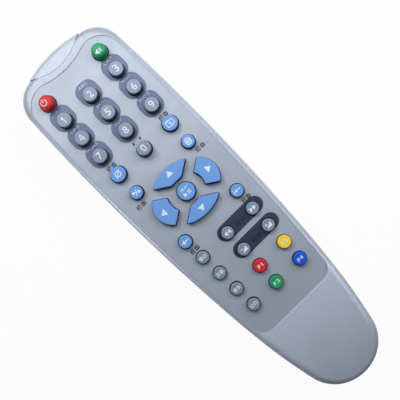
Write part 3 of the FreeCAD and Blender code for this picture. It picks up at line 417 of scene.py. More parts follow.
@dataclass(frozen=True)
class Skin:
    """The fine structure of a finish: a roughness that wanders, and a relief in millimetres."""

    gloss_scale: float
    relief_scale: float
    relief_depth: float
    smoother: float = 0.05
    rougher: float = 0.06
    gloss_detail: float = 2.0
    relief_detail: float = 2.0

    def gloss(self, tree: ShaderTree, roughness: float) -> Socket:
        """A roughness that wanders about its mean."""
        return tree.clouds(self.gloss_scale, roughness - self.smoother, roughness + self.rougher,
                           self.gloss_detail)

    def emboss(self, tree: ShaderTree) -> None:
        """Give a finish its relief."""
        tree.relief(tree.noise(self.relief_scale, self.relief_detail), self.relief_depth)


@dataclass(frozen=True)
class Finish:
    """What all finishes share: a colour that clouds between two shades, a skin and a clear coat."""

    name: str
    colour: Colour
    roughness: float
    spread: Span = (0.82, 1.15)
    cloud_scale: float = 1500.0
    metallic: float = 0.0
    coat: float = 0.0
    coat_roughness: float = 0.03
    clearness: float = 0.0
    skin: Skin = Skin(2500.0, 1900.0, 0.008, smoother=0.06, rougher=0.08)

    def make(self) -> Material:
        """Build the material.

        Returns:
            The finished material.
        """
        tree = ShaderTree(self.name)
        tree.set(Metallic=self.metallic, Coat_Weight=self.coat, Coat_Roughness=self.coat_roughness,
                 Transmission_Weight=self.clearness)
        tree.use("Base Color", self.tint(tree))
        self.cover(tree)
        return tree.material

    def tint(self, tree: ShaderTree) -> Socket:
        """The colour all over the surface."""
        return tree.shades(tree.noise(self.cloud_scale, detail=3.0), self.colour, *self.spread)

    def cover(self, tree: ShaderTree) -> None:
        """Lay the roughness and the relief."""
        tree.use("Roughness", self.skin.gloss(tree, self.roughness))
        self.skin.emboss(tree)


@dataclass(frozen=True)
class Moulding(Finish):
    """Small moulded or dipped parts on the board: a faint orange-peel skin over one body colour."""


@dataclass(frozen=True)
class CasingPaint(Finish):
    """Satin silver paint with fine flakes over moulded plastic, a little polished where a palm rubs it, with
    painted light and shade along its length.
    """

    name: str = "silver paint"
    colour: Colour = shade(176, 186, 203)
    roughness: float = 0.40
    metallic: float = 0.12
    coat: float = 0.12
    coat_roughness: float = 0.25
    skin: Skin = Skin(900.0, 6500.0, 0.0035, smoother=0.04, rougher=0.05, relief_detail=1.0)
    flake_scale: float = 5200.0
    flake_tone: float = 0.055
    cloud_scale: float = 38.0
    cloud_tone: float = 0.045
    tone_span: float = 0.5
    rub_start_y: float = -0.050
    rub_end_y: float = -0.020
    rub: float = -0.05
    palm_start_y: float = -0.0551
    palm_end_y: float = -0.0975
    palm_end_share: float = 0.75
    nose_y: float = 0.075
    panel_painted_shade: float = 0.88
    nose_painted_light: float = 1.09
    palm_painted_light: float = 0.25
    corner_x: float = 0.01528
    corner_y: float = -0.0491
    corner_radius: float = 0.0060
    corner_blur: float = 0.0001
    corner_fade_y: float = -0.020
    corner_reach: float = 0.05
    side_slope: float = 0.0866
    upward: Span = (0.70, 0.97)
    lip_width: float = 0.0005
    lip_painted_highlight: float = 0.21
    brow_painted_shade: float = -0.20
    brow_start_y: float = 0.076
    brow_end_y: float = 0.090

    def tint(self, tree: ShaderTree) -> Socket:
        """The paint's colour with its flakes, clouds and painted light and shade.

        Args:
            tree: the paint's nodes.

        Returns:
            The colour.
        """
        flakes = tree.remap(tree.cells(self.flake_scale), 0.0, 1.0, -self.flake_tone, self.flake_tone)
        clouds = tree.clouds(self.cloud_scale, -self.cloud_tone, self.cloud_tone, detail=3.0)
        tone = tree.sum(tree.sum(flakes, clouds), self.painted_light_along(tree))
        low, high = 1.0 - self.tone_span, 1.0 + self.tone_span
        return tree.shades(tree.remap(tone, low, high, 0.0, 1.0), self.colour, low, high)

    def cover(self, tree: ShaderTree) -> None:
        """Lay the roughness, lower where a palm rubs, and the relief.

        Args:
            tree: the paint's nodes.
        """
        rubbed = tree.remap(tree.axis("Y"), self.rub_start_y, self.rub_end_y, self.rub, 0.0)
        tree.use("Roughness", tree.sum(self.skin.gloss(tree, self.roughness), rubbed))
        self.skin.emboss(tree)

    def painted_light_along(self, tree: ShaderTree) -> Socket:
        """Painted light and shade on the paint: the sunk panel is painted darker towards the palm, lighter at
        the nose and darker again over the brow; the palm is painted lighter, with a painted highlight along
        its lip.

        Args:
            tree: the paint's nodes.

        Returns:
            The tone, 1 for the paint's own colour.
        """
        along = tree.axis("Y")
        # Painted shade and light along the panel: darker towards the palm, lighter at the nose, darker over
        # the brow
        panel = tree.sum(tree.remap(along, self.palm_start_y, self.nose_y, self.panel_painted_shade, self.nose_painted_light),
                         tree.remap(along, self.brow_start_y, self.brow_end_y, 0.0, self.brow_painted_shade))
        beyond = self.beyond_corner(tree)
        start, end = self.corner_radius - self.corner_blur, self.corner_radius + self.corner_blur
        outside = tree.remap(beyond, start ** 2, end ** 2, 0.0, 1.0)
        # Painted light on the palm, and a painted highlight along the lip at the panel's lower end, on upward
        # faces only
        palm = tree.remap(along, self.palm_end_y, self.palm_start_y, self.palm_painted_light * self.palm_end_share,
                          self.palm_painted_light)
        lip = tree.remap(beyond, end ** 2, (end + self.lip_width) ** 2, self.lip_painted_highlight, 0.0)
        fade = tree.remap(along, self.corner_y, self.corner_fade_y, 1.0, 0.0)
        light = tree.product(tree.sum(palm, lip), tree.product(outside, fade))
        upward = tree.remap(tree.facing_up(), *self.upward, 0.0, 1.0)
        return tree.sum(panel, tree.product(light, upward))

    def beyond_corner(self, tree: ShaderTree) -> Socket:
        """How far a place lies outwards from the centres of the panel's two lower corners.

        Args:
            tree: the paint's nodes.

        Returns:
            The distance, squared.
        """
        across, along = tree.axis("X"), tree.axis("Y")
        taper = tree.remap(along, self.corner_y, 0.0, 0.0, self.side_slope * self.corner_y)
        x, y, reach = self.corner_x, self.corner_y, self.corner_reach
        right = tree.remap(tree.sum(across, taper), x, x + reach, 0.0, reach)
        left = tree.remap(tree.join(Rule.SUBTRACT, across, taper), -x - reach, -x, reach, 0.0)
        sideways = tree.sum(right, left)
        backwards = tree.remap(along, y - reach, y, reach, 0.0)
        return tree.sum(tree.product(sideways, sideways), tree.product(backwards, backwards))


@dataclass(frozen=True)
class WindowPane(Finish):
    """Pale, faintly clouded plastic with a polished face, with painted shade where it turns away from the
    eye.
    """

    name: str = "pale window"
    colour: Colour = shade(193, 202, 221)
    roughness: float = 0.34
    spread: Span = (1.0, 0.86)
    cloud_scale: float = 120.0
    coat: float = 0.15
    coat_roughness: float = 0.12
    skin: Skin = Skin(700.0, 260.0, 0.002, smoother=0.0, rougher=0.08, gloss_detail=3.0, relief_detail=1.0)
    cloudiness: float = 0.25
    rim_shade_blend: float = 0.35

    def tint(self, tree: ShaderTree) -> Socket:
        """The pane's colour, darker in its clouds, with painted shade where it turns away.

        Args:
            tree: the pane's nodes.

        Returns:
            The colour.
        """
        # Painted shade towards the rim, where the pane turns away from the eye
        edge = tree.nodes.new("ShaderNodeLayerWeight")
        edge.inputs["Blend"].default_value = self.rim_shade_blend
        clouds_and_rim_shade = tree.sum(tree.clouds(self.cloud_scale, 0.0, self.cloudiness), edge.outputs["Facing"])
        return tree.shades(clouds_and_rim_shade, self.colour, *self.spread)


@dataclass(frozen=True)
class KeyPlastic(Finish):
    """Moulded key plastic: a fine grain, a soft sheen, a skirt painted dark as shade and a top painted
    lighter as lit.
    """

    roughness: float = 0.5
    # Painted shade on the skirt, up to painted light on the top
    spread: Span = (0.55, 1.10)
    cloud_scale: float = 850.0
    coat: float = 0.04
    coat_roughness: float = 0.18
    skin: Skin = Skin(1600.0, 9000.0, 0.0025, relief_detail=1.0)
    cloud_low: float = 0.94
    skirt_shade_span: Span = (0.15, 0.75)

    def tint(self, tree: ShaderTree) -> Socket:
        """The key's colour, with painted shade down its skirt and painted light on its top.

        Args:
            tree: the plastic's nodes.

        Returns:
            The colour.
        """
        # How far the face turns up, from the painted shade of the skirt to the painted light of the top
        top = tree.remap(tree.facing_up(), *self.skirt_shade_span, 0.0, 1.0)
        painted_light_and_clouds = tree.product(top, tree.clouds(self.cloud_scale, self.cloud_low, 1.0, detail=3.0))
        return tree.shades(painted_light_and_clouds, self.colour, *self.spread)


@dataclass(frozen=True)
class Ink(Finish):
    """Printed ink: one colour with the slight mottle and pinholes of a screen print."""

    roughness: float = 0.45
    spread: Span = (0.95, 1.05)
    cloud_scale: float = 240.0
    skin: Skin = Skin(1500.0, 5200.0, 0.0015)
    pinhole_scale: float = 2600.0
    pinhole_span: Span = (0.25, 0.75)
    pinhole_share: float = 0.6

    def tint(self, tree: ShaderTree) -> Socket:
        """The ink's colour, uneven in clouds and pinholes.

        Args:
            tree: the ink's nodes.

        Returns:
            The colour.
        """
        pinholes = tree.remap(tree.noise(self.pinhole_scale, detail=3.0), *self.pinhole_span,
                              0.0, self.pinhole_share)
        spots = tree.sum(pinholes, tree.clouds(self.cloud_scale, 0.0, 1.0 - self.pinhole_share))
        return tree.shades(spots, self.colour, *self.spread)


@dataclass(frozen=True)
class MatRubber(Finish):
    """Matt silicone of the key mat, dusted with fine powder."""

    name: str = "mat rubber"
    colour: Colour = shade(26, 28, 36)
    roughness: float = 0.72
    spread: Span = (0.8, 1.3)
    cloud_scale: float = 420.0
    dust_scale: float = 3200.0
    dust_span: Span = (0.15, 0.45)
    grain_scale: float = 2400.0
    grain_depth: float = 0.02
    sheen: float = 0.1

    def tint(self, tree: ShaderTree) -> Socket:
        """The rubber's colour, paler where powder lies."""
        dust = tree.product(tree.noise(self.cloud_scale, detail=4.0), tree.noise(self.dust_scale))
        return tree.shades(tree.remap(dust, *self.dust_span, 0.0, 1.0), self.colour, *self.spread)

    def cover(self, tree: ShaderTree) -> None:
        """Lay an even roughness, a sheen and a coarse grain."""
        tree.set(Roughness=self.roughness, Sheen_Weight=self.sheen)
        tree.relief(tree.noise(self.grain_scale), self.grain_depth)


@dataclass(frozen=True)
class BoardLaminate(Finish):
    """Green solder resist with paler tracks under it."""

    name: str = "board laminate"
    colour: Colour = shade(38, 98, 58)
    roughness: float = 0.32
    spread: Span = (0.85, 1.1)
    cloud_scale: float = 600.0
    coat: float = 0.3
    coat_roughness: float = 0.15
    track_colour: Colour = shade(74, 140, 84)
    track_scale: float = 260.0
    track_width: float = 0.045
    track_blur: float = 0.1
    track_offset: float = 0.35
    track_depth: float = 0.03

    def tint(self, tree: ShaderTree) -> Socket:
        """The resist's colour with the tracks in it, which stand in relief too.

        Args:
            tree: the laminate's nodes.

        Returns:
            The colour.
        """
        tracks = tree.nodes.new("ShaderNodeTexBrick")
        tracks.inputs["Scale"].default_value = self.track_scale
        tracks.inputs["Mortar Size"].default_value = self.track_width
        tracks.inputs["Mortar Smooth"].default_value = self.track_blur
        tracks.offset = self.track_offset
        tree.links.new(tree.place, tracks.inputs["Vector"])
        tree.relief(tracks.outputs["Fac"], self.track_depth)
        return tree.mix(tracks.outputs["Fac"], super().tint(tree), self.track_colour)

    def cover(self, tree: ShaderTree) -> None:
        """Lay an even roughness."""
        tree.set(Roughness=self.roughness)


@dataclass(frozen=True)
class Metal(Finish):
    """Bare or plated metal with fine drawn lines and a few darker stains."""

    spread: Span = (0.86, 1.05)
    cloud_scale: float = 500.0
    metallic: float = 1.0
    stain_span: Span = (0.35, 0.65)
    lines: Place = (300.0, 6000.0, 300.0)
    line_depth: float = 0.003
    smoother: float = 0.08
    rougher: float = 0.12

    def tint(self, tree: ShaderTree) -> Socket:
        """The metal's colour, darker in its stains."""
        stain = tree.remap(tree.noise(self.cloud_scale, detail=3.0), *self.stain_span, 0.0, 1.0)
        return tree.shades(stain, self.colour, *self.spread)

    def cover(self, tree: ShaderTree) -> None:
        """Lay the drawn lines, which the roughness follows.

        Args:
            tree: the metal's nodes.
        """
        drawn = tree.noise(1.0, source=tree.stretched(self.lines))
        low, high = self.roughness - self.smoother, self.roughness + self.rougher
        tree.use("Roughness", tree.remap(drawn, *CLOUD_SPAN, low, high))
        tree.relief(drawn, self.line_depth)


@dataclass(frozen=True, kw_only=True)
class CellSleeve(Finish):
    """The printed sleeve of a cell: a dark body with a pale band, and bare steel at its ends."""

    sleeve_start_y: float
    sleeve_end_y: float
    band_start_y: float
    band_end_y: float
    colour: Colour = shade(38, 46, 62)
    roughness: float = 0.22
    spread: Span = (0.85, 1.2)
    cloud_scale: float = 900.0
    skin: Skin = Skin(1300.0, 700.0, 0.01, smoother=0.0, rougher=0.10)
    band_colour: Colour = shade(150, 162, 180)
    band_blur: float = 0.0002
    steel_colour: Colour = shade(200, 202, 205)
    steel_blur: float = 0.0001

    def tint(self, tree: ShaderTree) -> Socket:
        """The sleeve's colours from end to end, and metal where it is bare.

        Args:
            tree: the sleeve's nodes.

        Returns:
            The colour.
        """
        along = tree.axis("Y")
        rise = tree.remap(along, self.band_start_y, self.band_start_y + self.band_blur, 0.0, 1.0)
        fall = tree.remap(along, self.band_end_y, self.band_end_y + self.band_blur, 1.0, 0.0)
        foot = tree.remap(along, self.sleeve_start_y, self.sleeve_start_y + self.steel_blur, 1.0, 0.0)
        head = tree.remap(along, self.sleeve_end_y, self.sleeve_end_y + self.steel_blur, 0.0, 1.0)
        bare = tree.join(Rule.MAXIMUM, foot, head)
        tree.use("Metallic", bare)
        banded = tree.mix(tree.product(rise, fall), super().tint(tree), self.band_colour)
        return tree.mix(bare, banded, self.steel_colour)


# Surfaces and printed layers

def placed(name: str, data: bpy.types.ID) -> bpy.types.Object:
    """Put an object in the scene.

    Args:
        name: its name.
        data: the mesh, letters, lamp or camera that it shows.

    Returns:
        The new object.
    """
    thing = bpy.data.objects.new(name, data)
    bpy.context.scene.collection.objects.link(thing)
    return thing


class Surface:
    """The faces of a node, seen from above."""

    def __init__(self, node: str) -> None:
        """Gather the node's faces.

        Args:
            node: name of the node.
        """
        mesh = frame["nodes"][node].data
        corners = [vertex.co.copy() for vertex in mesh.vertices]
        self.tree = BVHTree.FromPolygons(corners, [list(face.vertices) for face in mesh.polygons])
        self.ceiling = max(corner.z for corner in corners) + MM

    def height(self, x: float, y: float) -> float:
        """Height of the surface over a spot, all in millimetres.

        Args:
            x: the spot, to the right.
            y: the spot, towards the nose.

        Returns:
            The height of the surface there, or of the nearest place on it.
        """
        start = Vector((x * MM, y * MM, self.ceiling))
        hit = self.tree.ray_cast(start, Vector((0.0, 0.0, -1.0)))[0]
        if hit is None:
            hit = self.tree.find_nearest(start)[0]
        return hit.z / MM


@dataclass(frozen=True)
class InkLayer:
    """How a printed layer lies on its surface, in millimetres."""

    lift: float = 0.03
    sink: float = 0.05
    step: float = 0.003
    longest_edge: float = 0.55
    most_splits: int = 8

    def lay(self, sheets: list[Sheet], surface: Surface, name: str) -> bpy.types.Object:
        """Lay flat sheets on a surface as one piece of closed thin layers.

        Args:
            sheets: flat triangulated sheets in millimetres, freed by this call.
            surface: what they lie on.
            name: name of the new piece.

        Returns:
            The new object.
        """
        whole = bmesh.new()
        for index, sheet in enumerate(sheets):
            self.refine(sheet)
            self.close(sheet, surface, self.lift + self.step * index)
            copy = bpy.data.meshes.new("layer")
            sheet.to_mesh(copy)
            whole.from_mesh(copy)
            bpy.data.meshes.remove(copy)
            sheet.free()
        mesh = bpy.data.meshes.new(name)
        whole.to_mesh(mesh)
        whole.free()
        return placed(name, mesh)

    def refine(self, sheet: Sheet) -> None:
        """Split long edges, so that the sheet can follow a curved surface.

        Args:
            sheet: the flat sheet, changed by this call.
        """
        for _ in range(self.most_splits):
            long_edges = [edge for edge in sheet.edges if edge.calc_length() > self.longest_edge]
            if not long_edges:
                break
            bmesh.ops.subdivide_edges(sheet, edges=long_edges, cuts=1)
            bmesh.ops.triangulate(sheet, faces=sheet.faces[:])
        facing_up(sheet)

    def close(self, sheet: Sheet, surface: Surface, lift: float) -> None:
        """Lay a flat sheet on a surface and close it below and round its rim.

        Args:
            sheet: the flat sheet, changed by this call.
            surface: what it lies on.
            lift: how far its top stands over the surface.
        """
        rim = [edge.link_loops[0] for edge in sheet.edges if len(edge.link_faces) == 1]
        walls = [(loop.vert, loop.link_loop_next.vert) for loop in rim]
        tops = sheet.verts[:]
        faces = sheet.faces[:]
        below = {}
        for vertex in tops:
            height = surface.height(vertex.co.x, vertex.co.y)
            x, y = vertex.co.x * MM, vertex.co.y * MM
            below[vertex] = sheet.verts.new((x, y, (height - self.sink) * MM))
            vertex.co = (x, y, (height + lift) * MM)
        for face in faces:
            sheet.faces.new([below[vertex] for vertex in reversed(face.verts)])
        for first, second in walls:
            if not sheet.faces.get([second, first, below[first], below[second]]):
                sheet.faces.new([second, first, below[first], below[second]])
        sheet.normal_update()


def filled(region: Region) -> Sheet:
    """Fill a region, given as an outline and any holes, with triangles.

    Args:
        region: the outline first, then the holes.

    Returns:
        A flat sheet that faces up.
    """
    sheet = bmesh.new()
    loops = [[Vector((x, y, 0.0)) for x, y in loop] for loop in region]
    vertices = [sheet.verts.new(corner) for loop in loops for corner in loop]
    for triangle in tessellate_polygon(loops):
        if len(set(triangle)) == 3:
            sheet.faces.new([vertices[index] for index in triangle])
    return facing_up(sheet)


def facing_up(sheet: Sheet) -> Sheet:
    """Turn every face of a flat sheet upwards, and drop doubled faces, slivers and loose points.

    Args:
        sheet: the sheet, changed by this call.

    Returns:
        The same sheet.
    """
    kept: set[frozenset[int]] = set()
    sheet.verts.index_update()
    for face in sheet.faces[:]:
        corners = frozenset(vertex.index for vertex in face.verts)
        if corners in kept or face.calc_area() < SLIVER_AREA:
            sheet.faces.remove(face)
        kept.add(corners)
    sheet.normal_update()
    bmesh.ops.reverse_faces(sheet, faces=[face for face in sheet.faces if face.normal.z < 0.0])
    bmesh.ops.delete(sheet, geom=[vertex for vertex in sheet.verts if not vertex.link_faces], context="VERTS")
    return sheet


def lettering(text: str, x: float, y: float, height: float, width: float, bold: float) -> Sheet:
    """Set letters or digits in a box of a given size.

    Args:
        text: the letters.
        x: middle of the box, to the right.
        y: middle of the box, towards the nose.
        height: height of the box.
        width: width of the box.
        bold: how much the strokes are thickened, as a share of the letters' size.

    Returns:
        A flat sheet that faces up.
    """
    curve = bpy.data.curves.new("letters", "FONT")
    curve.body = text
    curve.offset = bold
    curve.resolution_u = LETTER_STEPS
    holder = placed("letters", curve)
    bpy.context.view_layer.update()
    mesh = bpy.data.meshes.new_from_object(holder.evaluated_get(bpy.context.evaluated_depsgraph_get()))
    bpy.data.objects.remove(holder)
    bpy.data.curves.remove(curve)
    sheet = bmesh.new()
    sheet.from_mesh(mesh)
    bpy.data.meshes.remove(mesh)
    bmesh.ops.remove_doubles(sheet, verts=sheet.verts[:], dist=LETTER_WELD)
    bmesh.ops.triangulate(sheet, faces=sheet.faces[:])
    low_x, high_x = min(v.co.x for v in sheet.verts), max(v.co.x for v in sheet.verts)
    low_y, high_y = min(v.co.y for v in sheet.verts), max(v.co.y for v in sheet.verts)
    for vertex in sheet.verts:
        vertex.co = (x + width * ((vertex.co.x - low_x) / (high_x - low_x) - 0.5),
                     y + height * ((vertex.co.y - low_y) / (high_y - low_y) - 0.5), 0.0)
    return facing_up(sheet)


@dataclass(frozen=True)
class Spot:
    """The middle of a key as seen from above, in millimetres."""

    x: float
    y: float

    @classmethod
    def of(cls, node: str) -> "Spot":
        """Find a key's middle from its node's box."""
        low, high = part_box(node)
        return cls((low[0] + high[0]) / 2 / MM, (low[1] + high[1]) / 2 / MM)


def finish_piece(piece: bpy.types.Object, material: Material, body: str) -> None:
    """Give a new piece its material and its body.

    Args:
        piece: the new object.
        material: what it is made of.
        body: the body that it moves with.
    """
    piece.data.materials.append(material)
    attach(piece, body)
    LOG.info("made %s on %s", piece.name, body)


class LetterGroup(Enum):
    """The letters printed over the digit keys."""

    KEY_2 = "ABC"
    KEY_3 = "DEF"
    KEY_4 = "GHI"
    KEY_5 = "JKL"
    KEY_6 = "MNO"
    KEY_7 = "PQRS"
    KEY_8 = "TUV"
    KEY_9 = "WXYZ"


# How far the small marks beside a key lie from its middle, in millimetres
MARK_SHIFTS: dict[str, Point] = {
    "key_audio": (0.0, 4.5), "key_favourite": (0.2, 4.5), "key_switch": (-2.55, -5.2),
    "key_menu": (2.1, -5.1), "key_back": (0.4, -5.3), "key_exit": (0.6, -5.0),
}


@dataclass
class PanelPrints:
    """What is printed on the sunk panel: patches, letters, strips and small marks."""

    patch_width: float = 10.45
    patch_length: float = 11.4
    patch_corner: float = 4.3
    patch_shift: float = 1.79
    patch_pitch: float = 11.02
    key_hole_radius: float = 3.58
    letters_height: float = 1.5
    letters_width: float = 4.9
    letters_shift: float = 4.1
    letters_bold: float = 0.04
    group_share: float = 0.4
    letter_share: float = 0.2
    lone_bar: Point = (0.35, 0.9)
    strip_length: float = 24.9
    strip_width: float = 7.36
    strip_flat: float = 0.01
    strip_shift: Point = (0.6, 0.5)
    rocker_hole_radius: float = 3.25
    rocker_sign_drop: float = 0.3
    mark_height: float = 2.0
    mark_width: float = 2.0
    mark_pitch: float = 2.6
    mark_stroke: float = 0.42
    mark_rows: tuple[Point, ...] = ((0.62, 0.42), (0.75, 0.05), (0.62, -0.40))
    post_share: float = 0.36
    frame_share: float = 0.8
    frame_drop: float = 0.05
    dot: Point = (0.8, 1.1)
    dot_shift: Point = (1.9, 4.7)
    overprint: float = 0.03
    longest_edge: float = 1.2

    def __post_init__(self) -> None:
        """Find the panel and mix the inks."""
        self.panel = Surface("top_shell")
        self.patch_ink = Ink("patch ink", shade(103, 116, 148), metallic=0.20).make()
        self.letter_ink = Ink("letter ink", shade(182, 196, 228)).make()
        self.strip_ink = Ink("strip ink", shade(45, 56, 80)).make()
        self.glyph_ink = Ink("glyph ink", shade(30, 36, 50)).make()
        self.mark_ink = Ink("mark ink", shade(40, 50, 76)).make()

    def build(self) -> None:
        """Print the whole panel."""
        self.print_patches()
        self.print_letters()
        self.print_strips()
        self.print_marks()

    def put(self, name: str, sheets: list[Sheet], ink: Material, lift: float = 0.0) -> None:
        """Lay sheets on the panel as one piece.

        Args:
            name: name of the piece.
            sheets: flat sheets.
            ink: what they are printed with.
            lift: how much higher than other prints they stand.
        """
        layer = InkLayer(lift=InkLayer.lift + lift, longest_edge=self.longest_edge)
        finish_piece(layer.lay(sheets, self.panel, name), ink, "casing")

    def patch_middle(self, digit: int) -> float:
        """Middle of the patch round a digit key, towards the nose."""
        return Spot.of("key_1").y + self.patch_shift - (digit - 1) // 3 * self.patch_pitch

    def print_patches(self) -> None:
        """The blue-grey rounded squares round the keys 1 to 9."""
        sheets = []
        for digit in range(1, 10):
            spot = Spot.of(f"key_{digit}")
            patch = slab(self.patch_width, self.patch_length, self.patch_corner)
            outline = moved(patch, spot.x, self.patch_middle(digit))
            sheets.append(filled([outline, moved(disc(self.key_hole_radius), spot.x, spot.y)]))
        self.put("digit_patches", sheets, self.patch_ink)

    def print_letters(self) -> None:
        """The letter groups over the keys 2 to 9, and the bar over the key 1."""
        sheets = []
        for group in LetterGroup:
            spot = Spot.of(group.name.lower())
            middle = self.patch_middle(int(group.name[-1])) + self.letters_shift
            width = self.letters_width * (self.group_share + self.letter_share * len(group.value))
            sheets.append(lettering(group.value, spot.x, middle, self.letters_height, width,
                                    self.letters_bold))
        middle = self.patch_middle(1) + self.letters_shift
        sheets.append(filled([moved(slab(*self.lone_bar), Spot.of("key_1").x, middle)]))
        self.put("letter_groups", sheets, self.letter_ink, self.overprint)

    def print_strips(self) -> None:
        """The dark strips under the two pairs of rocking keys, with their fainter signs between the keys."""
        strips, signs = [], []
        for left, right in (("key_rewind", "key_forward"), ("key_volume_down", "key_volume_up")):
            a, b = Spot.of(left), Spot.of(right)
            strip = slab(self.strip_length, self.strip_width, self.strip_width / 2 - self.strip_flat)
            aside, ahead = self.strip_shift
            outline = moved(strip, (a.x + b.x) / 2 + aside, (a.y + b.y) / 2 + ahead)
            holes = [moved(disc(self.rocker_hole_radius), spot.x, spot.y) for spot in (a, b)]
            strips.append(filled([outline] + holes))
            signs += self.mark_pair((a.x + b.x) / 2, a.y - self.rocker_sign_drop)
        self.put("rocker_strips", strips, self.strip_ink)
        self.put("rocker_signs", signs, self.glyph_ink, self.overprint)

    def mark_pair(self, x: float, y: float) -> list[Sheet]:
        """Two small plain marks side by side: stacked lines on a post, and a barred frame.

        Args:
            x: middle of the pair, to the right.
            y: middle of the pair, towards the nose.

        Returns:
            The flat sheets of both marks.
        """
        width, height, line = self.mark_width, self.mark_height, self.mark_stroke
        left, right = x - self.mark_pitch / 2, x + self.mark_pitch / 2
        rows = [moved(slab(width * share, line), left + width * (1 - share) / 2, y + height * place)
                for share, place in self.mark_rows]
        post = moved(slab(line, height), left - width * self.post_share, y)
        tall, middle = height * self.frame_share, y - height * self.frame_drop
        rim = [moved(slab(width, tall), right, middle),
               moved(slab(width - 2 * line, tall - 2 * line), right, middle)]
        regions = [[row] for row in rows] + [[post], rim, [moved(slab(line, height), right, y)]]
        return [filled(region) for region in regions]

    def print_marks(self) -> None:
        """The small dark pairs of marks beside some keys, and the two dots over the key 0."""
        for node, (shift_x, shift_y) in MARK_SHIFTS.items():
            spot = Spot.of(node)
            self.put(f"mark_{node}", self.mark_pair(spot.x + shift_x, spot.y + shift_y), self.mark_ink)
        zero = Spot.of("key_0")
        aside, ahead = self.dot_shift
        dots = [filled([moved(slab(*self.dot), zero.x + x, zero.y + ahead)]) for x in (-aside, aside)]
        self.put("mark_key_0", dots, self.mark_ink)


